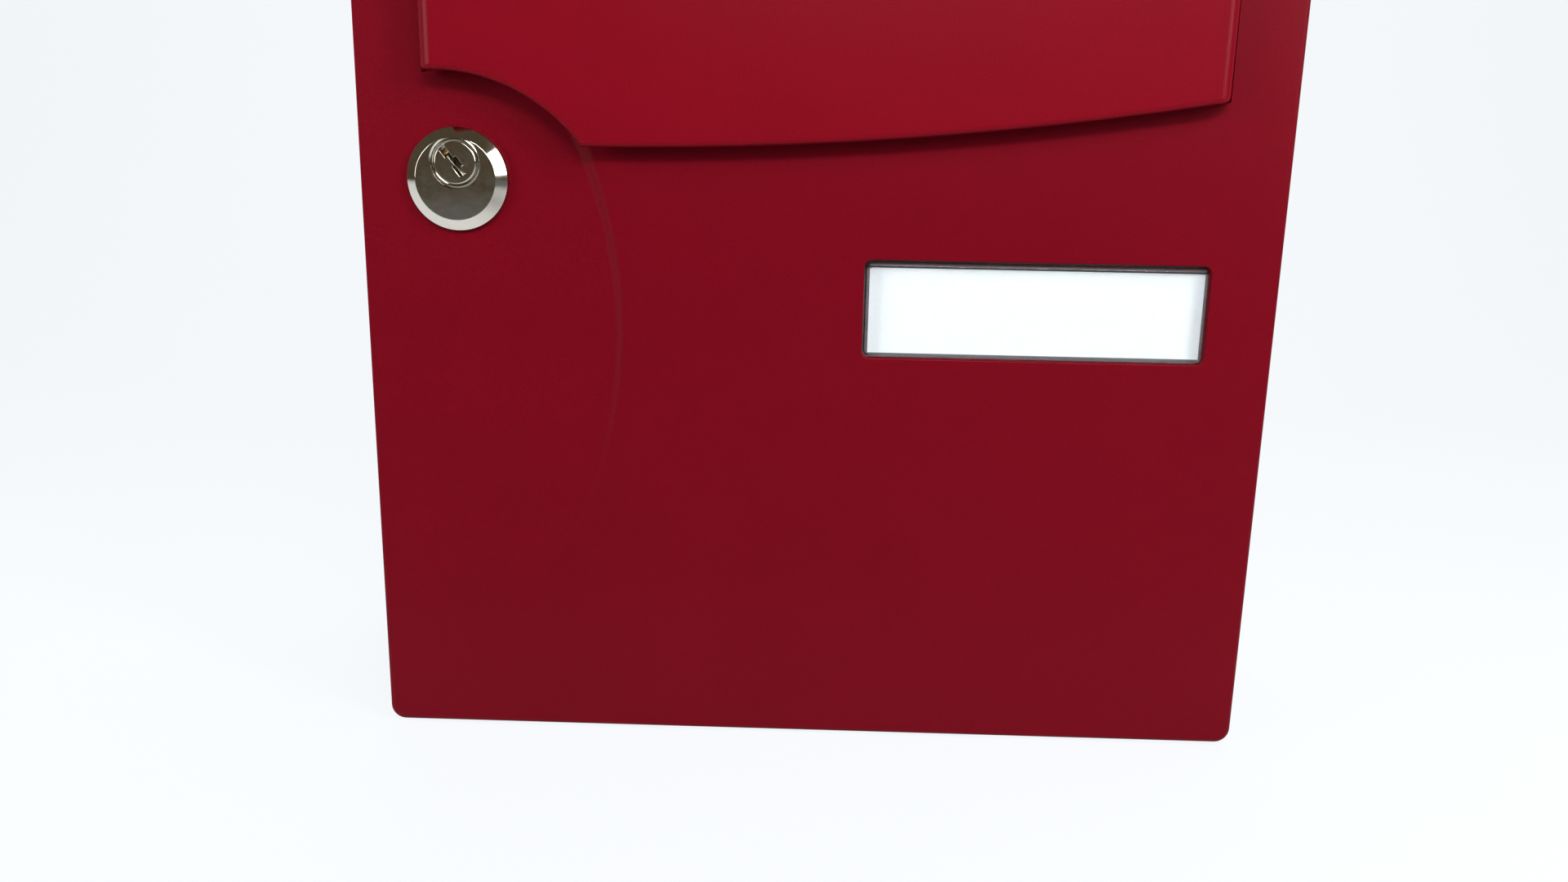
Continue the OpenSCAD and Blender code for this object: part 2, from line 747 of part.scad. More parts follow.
module name_window() {
    w = win_w - 2 * win_fit;
    h = win_h - 2 * win_fit;
    depth = flange_y + win_flange_t - win_sink;
    color(clear_plastic) in_door() translate([win_x, 0, win_z]) {
        intersection() {
            translate([0, win_sink, -h / 2]) linear_extrude(h) bevelled_section(w, depth, win_bevel);
            translate([0, win_sink, 0]) along_x(-w / 2, w / 2) mirror([1, -1]) bevelled_section(h, depth, win_bevel);
            along_y(win_sink, win_sink + depth) rounded(w, h, win_r - win_fit);
        }
        along_y(flange_y, card_y) rounded(stack_w, stack_h, win_r);
    }
}

module name_card() {
    color(paper_white) in_door() translate([win_x, 0, win_z])
        along_y(card_y, tray_y) square([win_w - 2 * card_margin, win_h - 2 * card_margin], center = true);
}

// Plate that backs the card, with a tab to draw it out by
module name_tray() {
    color(dark_rubber) in_door() translate([win_x, 0, win_z]) along_y(tray_y, stack_end) {
        rounded(stack_w, stack_h, win_r);
        translate([stack_w / 2, 0]) rounded(2 * tray_tab, stack_h * 0.4, win_r);
    }
}

// Outline of the housing, with round folds
module housing_outline(inset) {
    translate([0, housing_h / 2]) rounded(housing_w - 2 * inset, housing_h - 2 * inset, fold_r - inset);
}

// Places of the rivets that hold the back panel's folded edge
module at_hem_rivets() {
    for (s = [0, 1], z = hem_rivet_zs) {
        mirror([s, 0, 0]) translate([housing_w / 2, hem_rivet_y, z]) children();
    }
}

// Places of the rivets that hold the hinge brackets
module at_leg_rivets() {
    for (leaf_z = leaf_zs, y = leg_rivet_ys) {
        translate([housing_w / 2, y, door_lift + leaf_z - leg_h / 2]) children();
    }
}

// Wrapped sheet with a lip turned in all round the front
module housing_shell() {
    color(red_steel) difference() {
        along_y(housing_y, back_y) housing_outline(0);
        along_y(housing_y + sheet_t, back_y + over) housing_outline(sheet_t);
        translate([0, 0, housing_h / 2]) along_y(housing_y - over, housing_y + 2 * sheet_t)
            rounded(housing_w - 2 * lip_w, housing_h - 2 * lip_w, fold_r);
        for (z = leaf_zs) {
            translate([axis_x - leaf_half - 0.4, housing_y - over, door_lift + z - 0.4])
                cube([2 * leaf_half + 0.8, 2 * over + sheet_t, leaf_t + 0.8]);
        }
        at_hem_rivets() bar_x(rivet_d / 2 + run_fit, -2 * sheet_t, over);
        at_leg_rivets() bar_x(rivet_d / 2 + run_fit, -2 * sheet_t, over);
    }
}

// Long half-round bead, pressed inwards
module bead(r) {
    translate([0, back_y + bead_r - bead_h, housing_h / 2 - bead_len / 2]) cylinder(r = r, h = bead_len);
}

// Flat back with a folded edge, four fixing holes and two beads
module back_panel() {
    fit = sheet_t + panel_fit;
    color(red_steel) difference() {
        union() {
            difference() {
                along_y(back_y - hem_d, back_y) housing_outline(fit);
                along_y(back_y - hem_d - over, back_y - sheet_t) housing_outline(fit + sheet_t);
            }
            intersection() {
                for (s = [-1, 1]) {
                    translate([s * bead_pitch / 2, 0, 0]) bead(bead_r);
                }
                along_y(back_y - hem_d, back_y) housing_outline(fit);
            }
        }
        for (s = [-1, 1]) {
            translate([s * bead_pitch / 2, 0, 0]) bead(bead_r - sheet_t);
        }
        for (sx = [-1, 1], sz = [-1, 1]) {
            translate([sx * fix_w / 2, 0, housing_h / 2 + sz * fix_h / 2])
                bar_y(fix_d / 2, back_y - 2 * sheet_t, back_y + over);
        }
        at_hem_rivets() bar_x(rivet_d / 2 + run_fit, -4 * sheet_t, over);
    }
}

// Blind rivet: a domed head outside and a flat tail behind the grip
module rivet(grip) {
    head_r = rivet_head_d / 2;
    dome_r = (pow(head_r, 2) + pow(rivet_head_h, 2)) / (2 * rivet_head_h);
    rotate([0, 90, 0]) rotate_extrude() {
        intersection() {
            translate([0, rivet_head_h - dome_r]) circle(dome_r);
            square([head_r, rivet_head_h]);
        }
        translate([0, -grip - rivet_tail_h]) square([rivet_d / 2, grip + rivet_tail_h + sink]);
        translate([0, -grip - rivet_tail_h]) square([rivet_tail_r, rivet_tail_h]);
    }
}

module rivets() {
    color(zinc) {
        at_hem_rivets() rivet(2 * sheet_t + panel_fit);
        at_leg_rivets() rivet(sheet_t + leaf_t);
    }
}

// Folded bracket: a leg on the housing's side and a level leaf that reaches the hinge axis
module hinge_bracket(leaf_z) {
    z0 = door_lift + leaf_z;
    y_axis = panel_y + axis_y;
    color(zinc) difference() {
        union() {
            translate([axis_x, y_axis, z0]) cylinder(r = eye_r, h = leaf_t);
            translate([axis_x - leaf_half, y_axis, z0])
                cube([2 * leaf_half, leg_y + leaf_depth - y_axis, leaf_t]);
            translate([axis_x - leaf_half, leg_y, z0])
                cube([wall_x - axis_x + leaf_half, leaf_depth, leaf_t]);
            translate([wall_x - leaf_t, leg_y, z0 + leaf_t - leg_h]) cube([leaf_t, leg_len, leg_h]);
        }
        translate([axis_x, y_axis, z0 - over])
            cylinder(r = hinge_pin_d / 2 + run_fit, h = leaf_t + 2 * over);
        at_leg_rivets() bar_x(rivet_d / 2 + run_fit, -4 * sheet_t - leaf_t, over);
    }
}

// Headed pin through the door's lugs and the leaf
module hinge_pin(leaf_z) {
    reach = leaf_gap + hinge_lug_h;
    color(zinc) in_door() translate([axis_x, axis_y, leaf_z]) {
        translate([0, 0, -reach]) cylinder(r = hinge_pin_d / 2, h = 2 * reach + leaf_t + sink);
        translate([0, 0, reach + leaf_t]) cylinder(r = hinge_pin_d / 2 + 1, h = 1.2);
    }
}

housing_shell();
back_panel();
rivets();
hinge_bracket(leaf_zs[1]);  // hinge_bracket_upper
hinge_bracket(leaf_zs[0]);  // hinge_bracket_lower
door_panel();
hinge_pin(leaf_zs[1]);  // hinge_pin_upper
hinge_pin(leaf_zs[0]);  // hinge_pin_lower
flap();
flap_rod();
flap_buffers();
lock_body();
lock_washer();
lock_nut();
lock_plug();
lock_wafers();
lock_cam();
cam_washer();
cam_screw();
name_window();
name_card();
name_tray();
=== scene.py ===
"""Looks of the wall letter box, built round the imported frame.

The front faces -Y, the wall is at +Y and +Z is up. Lengths are metres in the row's frame.
"""

import json
import logging
import math
from collections.abc import Callable, Iterable, Sequence
from dataclasses import dataclass
from enum import Enum

import bmesh
import bpy
from mathutils import Euler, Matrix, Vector
from mathutils.geometry import delaunay_2d_cdt, tessellate_polygon


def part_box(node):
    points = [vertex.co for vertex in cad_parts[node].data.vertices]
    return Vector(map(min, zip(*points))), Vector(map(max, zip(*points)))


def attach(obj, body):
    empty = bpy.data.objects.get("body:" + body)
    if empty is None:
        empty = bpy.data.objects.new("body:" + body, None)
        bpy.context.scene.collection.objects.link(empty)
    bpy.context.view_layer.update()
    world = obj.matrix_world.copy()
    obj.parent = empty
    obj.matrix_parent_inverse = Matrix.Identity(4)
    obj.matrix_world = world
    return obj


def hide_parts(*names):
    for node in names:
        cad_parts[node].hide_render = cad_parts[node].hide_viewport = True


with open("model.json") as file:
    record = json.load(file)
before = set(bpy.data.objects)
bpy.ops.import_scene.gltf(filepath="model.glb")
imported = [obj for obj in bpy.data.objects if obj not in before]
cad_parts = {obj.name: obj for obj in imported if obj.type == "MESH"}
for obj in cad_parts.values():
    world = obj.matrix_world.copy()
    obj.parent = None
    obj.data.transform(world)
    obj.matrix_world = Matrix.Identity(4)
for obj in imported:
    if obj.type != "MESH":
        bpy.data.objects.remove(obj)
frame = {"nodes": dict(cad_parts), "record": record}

MM = 0.001
MERGE = 0.0005 * MM
LOG = logging.getLogger("letter_box")

Pair = tuple[float, float]
Colour = tuple[float, float, float]
Socket = bpy.types.NodeSocket
Feed = float | Colour | Socket


class Body(Enum):
    """The bodies that pieces ride on."""

    HOUSING = "housing"
    DOOR = "door"
    FLAP = "flap"
    PLUG = "plug"


class Axis(Enum):
    """The direction in which a turned piece runs."""

    ALONG_X = (1.0, 0.0, 0.0)
    ALONG_Y = (0.0, 1.0, 0.0)
    ALONG_Z = (0.0, 0.0, 1.0)


# Finishes


class NodeBench:
    """Builds a node tree."""

    def __init__(self, tree: bpy.types.NodeTree) -> None:
        """Start with an empty tree.

        Args:
            tree: The node tree of a material or of the world.
        """
        self.tree = tree
        self.tree.nodes.clear()

    def node(self, kind: str, feeds: dict[str | int, Feed], **settings: str) -> bpy.types.Node:
        """Add a node.

        Args:
            kind: Its type, without the words that all types start with.
            feeds: A value or an output socket for each named or numbered input.
            settings: The node's own settings.

        Returns:
            The node.
        """
        node = self.tree.nodes.new("ShaderNode" + kind)
        for word, value in settings.items():
            setattr(node, word, value)
        for key, value in feeds.items():
            self.feed(node.inputs[key], value)
        return node

    def feed(self, socket: Socket, value: Feed) -> None:
        """Link a socket to another, or give it a value.

        Args:
            socket: The input socket.
            value: An output socket, a number or a colour.
        """
        if isinstance(value, Socket):
            self.tree.links.new(value, socket)
        elif socket.type == "RGBA":
            socket.default_value = (*value, 1.0)
        else:
            socket.default_value = value

    def reckon(self, operation: str, *values: float | Socket) -> Socket:
        """The result of a Math node."""
        return self.node("Math", dict(enumerate(values)), operation=operation).outputs["Value"]

    def span(
        self, value: Socket, low: float, high: float, start: float = 0.3, end: float = 0.7
    ) -> Socket:
        """Spread a value from one range to another, clamped at the ends.

        Args:
            value: The output socket to read.
            low: What start becomes.
            high: What end becomes.
            start: The lower end of the range read.
            end: The upper end of the range read.

        Returns:
            The output socket with the new value.
        """
        feeds = {"Value": value, "From Min": start, "From Max": end, "To Min": low, "To Max": high}
        return self.node("MapRange", feeds).outputs["Result"]

    def blend(self, share: Socket, first: Colour | Socket, second: Colour | Socket) -> Socket:
        """Mix two colours.

        Args:
            share: How much of the second colour shows.
            first: The colour at 0.
            second: The colour at 1.

        Returns:
            The output socket with the mixed colour.
        """
        feeds = {"Factor": share, 6: first, 7: second}
        return self.node("Mix", feeds, data_type="RGBA").outputs[2]

    def mixed(self, share: Socket, first: Socket, second: Socket) -> Socket:
        """The shader between two, where share tells how much of the second shows."""
        return self.node("MixShader", {0: share, 1: first, 2: second}).outputs["Shader"]


class MaterialBench(NodeBench):
    """Builds one material's node tree round a Principled shader."""

    def __init__(self, name: str) -> None:
        """Start a material.

        Args:
            name: The material's name.
        """
        self.material = bpy.data.materials.new(name)
        self.material.use_nodes = True
        super().__init__(self.material.node_tree)
        self.shader = self.node("BsdfPrincipled", {})
        self.plain = self.shader.outputs["BSDF"]
        self.output = self.node("OutputMaterial", {"Surface": self.plain})
        self.place = self.node("TexCoord", {}).outputs["Object"]

    def set(self, **values: Feed) -> None:
        """Set or link sockets of the Principled shader.

        Args:
            values: Socket names with _ for a space, and a value or an output socket for each.
        """
        for word, value in values.items():
            self.feed(self.shader.inputs[word.replace("_", " ")], value)

    def show(self, shader: Socket) -> None:
        """Show a shader in place of the Principled one."""
        self.feed(self.output.inputs["Surface"], shader)

    def stretched(self, factors: Colour) -> Socket:
        """Object coordinates scaled by a factor along each axis."""
        return self.node("Mapping", {"Vector": self.place, "Scale": factors}).outputs["Vector"]

    def noise(
        self,
        size: float,
        detail: float = 2.0,
        roughness: float = 0.5,
        distortion: float = 0.0,
        place: Socket | None = None,
    ) -> Socket:
        """Noise whose spots are about a given size.

        Args:
            size: The size of a spot in metres.
            detail: How many finer layers are added.
            roughness: The share of the finer layers.
            distortion: How much the spots are drawn out.
            place: Coordinates other than the object's own.

        Returns:
            The output socket with values round one half.
        """
        feeds = {"Vector": place or self.place, "Scale": 1.0 / size, "Detail": detail}
        feeds.update({"Roughness": roughness, "Distortion": distortion})
        return self.node("TexNoise", feeds).outputs["Fac"]

    def sum(self, first: Socket, second: Socket, share: float) -> Socket:
        """One value with a share of another added."""
        return self.reckon("MULTIPLY_ADD", second, share, first)

    def bump(self, height: Socket, depth: float) -> None:
        """Give the shader a bumpy surface.

        Args:
            height: The output socket with the height.
            depth: The depth in metres between height 0 and 1.
        """
        node = self.node("Bump", {"Height": height, "Distance": depth, "Strength": 1.0})
        self.set(Normal=node.outputs["Normal"])


def tinted(colour: Colour, factor: float) -> Colour:
    """A colour made lighter or darker by a factor."""
    return (colour[0] * factor, colour[1] * factor, colour[2] * factor)


@dataclass(frozen=True)
class Finish:
    """A surface finish, which makes the material for one of the record's slots."""

    slot: str
    colour: Colour

    def make(self) -> bpy.types.Material:
        """Build the material.

        Returns:
            The finished material.
        """
        bench = MaterialBench(self.slot)
        self.dress(bench)
        return bench.material

    def dress(self, bench: MaterialBench) -> None:
        """Set the shader up, each kind of finish in its own way."""
        raise NotImplementedError

    def shaded(self, bench: MaterialBench, spots: Socket, first: float, second: float) -> Socket:
        """The colour, tinted by one factor in the spots' valleys and another on their tops."""
        tints = (tinted(self.colour, first), tinted(self.colour, second))
        return bench.blend(bench.span(spots, 0, 1), *tints)


@dataclass(frozen=True)
class MouldedPlastic(Finish):
    """Satin red plastic with the fine grain of its mould and a faint mottle."""

    sheen_roughness: float = 0.34
    gloss: float = 0.1
    grain_size: float = 0.42 * MM
    grain_depth: float = 0.02 * MM
    mottle_size: float = 26 * MM

    def dress(self, bench: MaterialBench) -> None:
        """Set up the mottled, grained shader.

        Args:
            bench: The material's bench.
        """
        mottle = bench.noise(self.mottle_size, detail=3, roughness=0.6)
        grain = bench.noise(self.grain_size, detail=2, roughness=0.6)
        fine = bench.noise(self.grain_size * 0.45, detail=1)
        base = self.shaded(bench, mottle, 0.97, 1.03)
        base = bench.blend(bench.span(grain, 0, 0.6, 0.5, 0.8), base, tinted(self.colour, 1.6))
        base = bench.blend(bench.span(fine, 0.5, 0, 0.2, 0.5), base, tinted(self.colour, 0.55))
        rough = self.sheen_roughness
        rough_spots = bench.span(grain, rough - 0.05, rough + 0.07, 0.25, 0.75)
        bench.set(Base_Color=base, Roughness=rough_spots, Specular_IOR_Level=self.gloss)
        bench.bump(bench.sum(grain, fine, 0.4), self.grain_depth)


@dataclass(frozen=True)
class PowderCoat(Finish):
    """Baked paint on the sheet, with its soft orange peel."""

    peel_size: float = 1.5 * MM
    peel_depth: float = 0.02 * MM
    gloss: float = 0.25

    def dress(self, bench: MaterialBench) -> None:
        """Set up the painted shader.

        Args:
            bench: The material's bench.
        """
        cloud = bench.noise(40 * MM, detail=3)
        peel = bench.noise(self.peel_size, detail=1, roughness=0.4)
        speck = bench.noise(0.3 * MM, detail=1)
        base = self.shaded(bench, cloud, 0.94, 1.06)
        base = bench.blend(bench.span(speck, 0, 0.25, 0.6, 0.8), base, tinted(self.colour, 1.5))
        rough_spots = bench.span(cloud, 0.3, 0.4)
        bench.set(Base_Color=base, Roughness=rough_spots, Specular_IOR_Level=self.gloss)
        bench.bump(bench.sum(peel, speck, 0.12), self.peel_depth)


@dataclass(frozen=True)
class PlatedSteel(Finish):
    """Bright zinc on steel, clouded by its passivation and lightly scratched."""

    roughness: float = 0.34

    def dress(self, bench: MaterialBench) -> None:
        """Set up the clouded metal shader.

        Args:
            bench: The material's bench.
        """
        cloud = bench.noise(5 * MM, detail=3, distortion=0.6)
        hue = bench.noise(9 * MM, detail=2)
        scratch = bench.noise(0.25 * MM, detail=2, place=bench.stretched((1.0, 1.0, 0.06)))
        warm = (self.colour[0] * 1.06, self.colour[1] * 1.0, self.colour[2] * 0.86)
        cool = (self.colour[0] * 0.88, self.colour[1] * 0.96, self.colour[2] * 1.08)
        base = bench.blend(bench.span(hue, 0, 1), warm, cool)
        base = bench.blend(bench.span(cloud, 0, 0.5), base, tinted(self.colour, 0.8))
        rough_spots = bench.span(cloud, self.roughness - 0.08, self.roughness + 0.12)
        bench.set(Base_Color=base, Metallic=1.0, Roughness=rough_spots)
        bench.bump(scratch, 0.004 * MM)


@dataclass(frozen=True)
class PolishedNickel(Finish):
    """Nickel with a mirror polish, faint handling haze and hairlines."""

    roughness: float = 0.07

    def dress(self, bench: MaterialBench) -> None:
        """Set up the polished metal shader.

        Args:
            bench: The material's bench.
        """
        haze = bench.noise(4 * MM, detail=3, roughness=0.6)
        hairs = bench.noise(0.12 * MM, detail=2, place=bench.stretched((1.0, 1.0, 0.05)))
        wave = bench.noise(3.5 * MM, detail=1)
        rough = bench.span(haze, self.roughness * 0.7, self.roughness * 1.6)
        bench.set(
            Base_Color=self.shaded(bench, haze, 0.94, 1.03),
            Metallic=1.0,
            Roughness=bench.sum(rough, hairs, 0.04),
        )
        bench.bump(bench.sum(wave, hairs, 0.02), 0.012 * MM)


@dataclass(frozen=True)
class SpottedFinish(Finish):
    """One kind of spots in colour and roughness, and a bump of the same or of finer spots."""

    spot: float = 1 * MM
    detail: float = 3
    tint: float = 1.0
    smooth: float = 0.5
    rough: float = 0.6
    relief: float = 0.0
    relief_depth: float = 0.01 * MM
    metallic: float = 0.0
    painted_glow: float = 0.0
    stretch: Colour | None = None

    def dress(self, bench: MaterialBench) -> None:
        """Set up the spotted shader.

        Args:
            bench: The material's bench.
        """
        place = bench.stretched(self.stretch) if self.stretch else None
        spots = bench.noise(self.spot, detail=self.detail, place=place)
        bench.set(
            Base_Color=self.shaded(bench, spots, 1.0, self.tint),
            Roughness=bench.span(spots, self.smooth, self.rough),
            Metallic=self.metallic,
        )
        # Painted light: the card glows faintly, lifting the shade that falls on it in its recess.
        if self.painted_glow > 0:
            bench.set(Emission_Color=self.colour, Emission_Strength=self.painted_glow)
        bench.bump(bench.noise(self.relief) if self.relief > 0 else spots, self.relief_depth)


@dataclass(frozen=True)
class ClearCover(Finish):
    """Clear moulded plastic with a trace of haze, and painted shade on its bevel and sides. Lamps
    shine through it.
    """

    side_shade_colour: Colour = (0.05, 0.022, 0.024)
    side_roughness: float = 0.16
    side_shade_share: float = 0.85

    def dress(self, bench: MaterialBench) -> None:
        """Set up the clear shader, with painted shade on the bevel and the sides.

        Args:
            bench: The material's bench.
        """
        haze = bench.noise(8 * MM, detail=3)
        bench.set(
            Base_Color=self.colour,
            Roughness=bench.span(haze, 0.015, 0.05),
            IOR=1.49,
            Transmission_Weight=1.0,
        )
        bench.bump(bench.noise(12 * MM, detail=1), 0.01 * MM)
        # Painted shade: a dark reddish shader on the bevel and the sides stands in for the shade in
        # the gap round the pane.
        feeds = {"Base Color": self.side_shade_colour, "Roughness": self.side_roughness}
        painted_shade = bench.node("BsdfPrincipled", feeds).outputs["BSDF"]
        normal = bench.node("TexCoord", {}).outputs["Normal"]
        facing = bench.node("SeparateXYZ", {"Vector": normal}).outputs["Y"]
        facing = bench.reckon("ABSOLUTE", facing)
        sides = bench.span(facing, self.side_shade_share, 0, 0.8, 0.95)
        seen = bench.mixed(sides, bench.plain, painted_shade)
        clear = bench.node("BsdfTransparent", {}).outputs["BSDF"]
        rays = bench.node("LightPath", {}).outputs
        bench.show(bench.mixed(rays["Is Shadow Ray"], seen, clear))


FINISHES: tuple[Finish, ...] = (
    MouldedPlastic("door_plastic", (0.172, 0.0008, 0.0082)),
    # The flap's red is set lighter than the door's red: partly painted light, for the flap that
    # stands nearer the lamps.
    MouldedPlastic("flap_plastic", (0.208, 0.0016, 0.0095), sheen_roughness=0.32),
    PowderCoat("painted_steel", (0.19, 0.006, 0.012)),
    PlatedSteel("zinc_steel", (0.6, 0.61, 0.62)),
    PlatedSteel("rivet_steel", (0.66, 0.66, 0.66), roughness=0.4),
    PolishedNickel("nickel", (0.72, 0.69, 0.62)),
    SpottedFinish(
        "wafer_brass",
        (0.7, 0.5, 0.22),
        spot=1.2 * MM,
        tint=0.7,
        smooth=0.25,
        rough=0.45,
        relief=0.1 * MM,
        relief_depth=0.003 * MM,
        metallic=1.0,
    ),
    SpottedFinish(
        "black_rubber",
        (0.02, 0.02, 0.02),
        spot=1.6 * MM,
        tint=2.2,
        smooth=0.6,
        rough=0.8,
        relief=0.2 * MM,
    ),
    ClearCover("clear_cover", (1.0, 1.0, 1.0)),
    SpottedFinish(
        "white_card",
        (0.8, 0.83, 0.85),
        spot=0.5 * MM,
        tint=0.965,
        smooth=0.7,
        rough=0.85,
        relief_depth=0.006 * MM,
        # Painted light: a faint glow that lifts the shade on the card.
        painted_glow=0.08,
        stretch=(0.4, 1.0, 1.0),
    ),
    # Where the tray shows round the card, its near-black stands in for the shade at the window's
    # border: painted shade.
    SpottedFinish(
        "tray_plastic",
        (0.05, 0.05, 0.055),
        spot=0.35 * MM,
        detail=2,
        tint=1.5,
        smooth=0.5,
        rough=0.68,
        relief_depth=0.02 * MM,
    ),
)


class PaintShop:
    """Keeps one material for each of the record's slots and puts it on pieces."""

    def __init__(self, finishes: Iterable[Finish]) -> None:
        """Make the materials.

        Args:
            finishes: One finish for each slot.
        """
        self.materials = {finish.slot: finish.make() for finish in finishes}
        self.slots = {
            part["node"]: part["material_slot"] for part in frame["record"]["subparts"]
        }

    def dress_node(self, node: str) -> None:
        """Put its slot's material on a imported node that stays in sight.

        Args:
            node: The node's name.
        """
        for place in frame["nodes"][node].material_slots:
            place.material = self.materials[self.slots[node]]

    def dress_piece(self, piece: bpy.types.Object, body: Body, *nodes: str) -> None:
        """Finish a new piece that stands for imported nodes.

        Args:
            piece: The new piece, in place.
            body: The body that it rides on.
            nodes: The nodes that it stands for.
        """
        slot = self.slots[nodes[0]]
        piece.data.materials.clear()
        piece.data.materials.append(self.materials[slot])
        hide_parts(*nodes)
        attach(piece, body.value)
        LOG.info("%s stands for %s", piece.name, ", ".join(nodes))


# Shapes


def circle_points(radius: float, count: int, centre: Pair = (0.0, 0.0)) -> list[Pair]:
    """Points of a circle, counter-clockwise.

    Args:
        radius: The circle's radius.
        count: The number of points.
        centre: The circle's centre.

    Returns:
        The points.
    """
    turns = [2 * math.pi * i / count for i in range(count)]
    return [
        (centre[0] + radius * math.cos(a), centre[1] + radius * math.sin(a)) for a in turns
    ]


@dataclass(frozen=True)
class RoundRectangle:
    """A rectangle with round corners, which can be drawn larger or smaller all round."""

    width: float
    height: float
    radius: float
    centre: Pair = (0.0, 0.0)

    def points(self, grow: float, step: float, corner_steps: int = 8) -> list[Pair]:
        """Points of the outline, counter-clockwise, and as many for every value of grow.

        Args:
            grow: How much further out than the outline the points lie.
            step: The largest distance between points along the sides.
            corner_steps: The number of steps round a corner.

        Returns:
            The points.
        """
        half = (self.width / 2 - self.radius, self.height / 2 - self.radius)
        radius = self.radius + grow
        corners: list[list[Pair]] = []
        for k, (sx, sz) in enumerate(((1, 1), (-1, 1), (-1, -1), (1, -1))):
            turns = [math.pi / 2 * (k + i / corner_steps) for i in range(corner_steps + 1)]
            x, z = self.centre[0] + sx * half[0], self.centre[1] + sz * half[1]
            corners.append([(x + radius * math.cos(a), z + radius * math.sin(a)) for a in turns])
        full: list[Pair] = []
        for k, corner in enumerate(corners):
            (x, z), (after_x, after_z) = corner[-1], corners[(k + 1) % 4][0]
            pieces = max(1, math.ceil(2 * half[k % 2] / step))
            shares = [i / pieces for i in range(1, pieces)]
            full += corner
            full += [(x + (after_x - x) * s, z + (after_z - z) * s) for s in shares]
        return full

    def inside(self, x: float, z: float, grow: float = 0.0) -> bool:
        """Whether a point lies inside the outline grown by a value."""
        return self.depth(x, z) > -grow

    def depth(self, x: float, z: float) -> float:
        """How far inside the outline a point lies.

        Args:
            x: The point's x.
            z: The point's z.

        Returns:
            The distance, which is less than 0 outside.
        """
        dx = abs(x - self.centre[0]) - (self.width / 2 - self.radius)
        dz = abs(z - self.centre[1]) - (self.height / 2 - self.radius)
        if dx > 0 and dz > 0:
            return self.radius - math.hypot(dx, dz)
        return self.radius - max(dx, dz)


class MeshBuilder:
    """Gathers the vertices and faces of one mesh."""

    def __init__(self) -> None:
        """Start with no vertices and no faces."""
        self.points: list[Vector] = []
        self.faces: list[tuple[int, ...]] = []

    def ring(self, points: Iterable[Vector]) -> list[int]:
        """Add vertices.

        Args:
            points: Their places.

        Returns:
            Their numbers.
        """
        start = len(self.points)
        self.points.extend(points)
        return list(range(start, len(self.points)))

    def band(self, first: Sequence[int], second: Sequence[int]) -> None:
        """Join two closed rings of the same count with four-sided faces.

        Args:
            first: The numbers of one ring.
            second: The numbers of the other.
        """
        count = len(first)
        for i in range(count):
            j = (i + 1) % count
            self.faces.append((first[i], first[j], second[j], second[i]))

    def loft(self, rings: Sequence[Sequence[int]]) -> None:
        """Join closed rings of the same count, each with the next."""
        for first, second in zip(rings, rings[1:]):
            self.band(first, second)

    def fill(self, rings: Sequence[Sequence[int]]) -> None:
        """Fill a flat area between an outline and its holes.

        Args:
            rings: The numbers of the outline, then of each hole.
        """
        flat = [number for ring in rings for number in ring]
        places = [[self.points[number] for number in ring] for ring in rings]
        for triangle in tessellate_polygon(places):
            self.faces.append(tuple(flat[i] for i in triangle))

    def add_mesh(self, other: bmesh.types.BMesh) -> None:
        """Add the faces of another mesh.

        Args:
            other: The mesh, which is left as it is.
        """
        other.verts.index_update()
        numbers = self.ring(v.co.copy() for v in other.verts)
        for face in other.faces:
            self.faces.append(tuple(numbers[v.index] for v in face.verts))

    def piece(self, name: str, sharp_degrees: float = 32.0) -> bpy.types.Object:
        """Make the object, smooth apart from its sharp edges.

        Args:
            name: The object's name.
            sharp_degrees: The angle above which an edge stays sharp.

        Returns:
            The new object.
        """
        mesh = bpy.data.meshes.new(name + "_raw")
        mesh.from_pydata([tuple(p) for p in self.points], [], self.faces)
        work = bmesh.new()
        work.from_mesh(mesh)
        bpy.data.meshes.remove(mesh)
        bmesh.ops.remove_doubles(work, verts=work.verts, dist=MERGE)
        bmesh.ops.recalc_face_normals(work, faces=work.faces)
        piece = placed(name, work)
        piece.data.set_sharp_from_angle(angle=math.radians(sharp_degrees))
        weigh_normals(piece)
        return piece


def placed(name: str, work: bmesh.types.BMesh) -> bpy.types.Object:
    """Put a mesh in the scene with smooth shading.

    Args:
        name: The object's name.
        work: Its mesh, which is freed.

    Returns:
        The new object.
    """
    mesh = bpy.data.meshes.new(name)
    work.to_mesh(mesh)
    work.free()
    mesh.shade_smooth()
    piece = bpy.data.objects.new(name, mesh)
    bpy.context.scene.collection.objects.link(piece)
    return piece


def weigh_normals(piece: bpy.types.Object) -> None:
    """Let large faces set the shading of the small ones beside them.

    Args:
        piece: The object, whose sharp edges stay sharp.
    """
    weighted = piece.modifiers.new("weighted", "WEIGHTED_NORMAL")
    weighted.keep_sharp = True
    weighted.weight = 80


def node_mesh(node: str) -> bmesh.types.BMesh:
    """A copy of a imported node's mesh, with the triangles of each flat face joined.

    Args:
        node: The node's name.

    Returns:
        The copy, which the caller frees.
    """
    work = bmesh.new()
    work.from_mesh(frame["nodes"][node].data)
    bmesh.ops.remove_doubles(work, verts=work.verts, dist=MERGE)
    bmesh.ops.dissolve_limit(
        work,
        angle_limit=math.radians(0.4),
        use_dissolve_boundaries=False,
        verts=work.verts,
        edges=work.edges,
    )
    return work


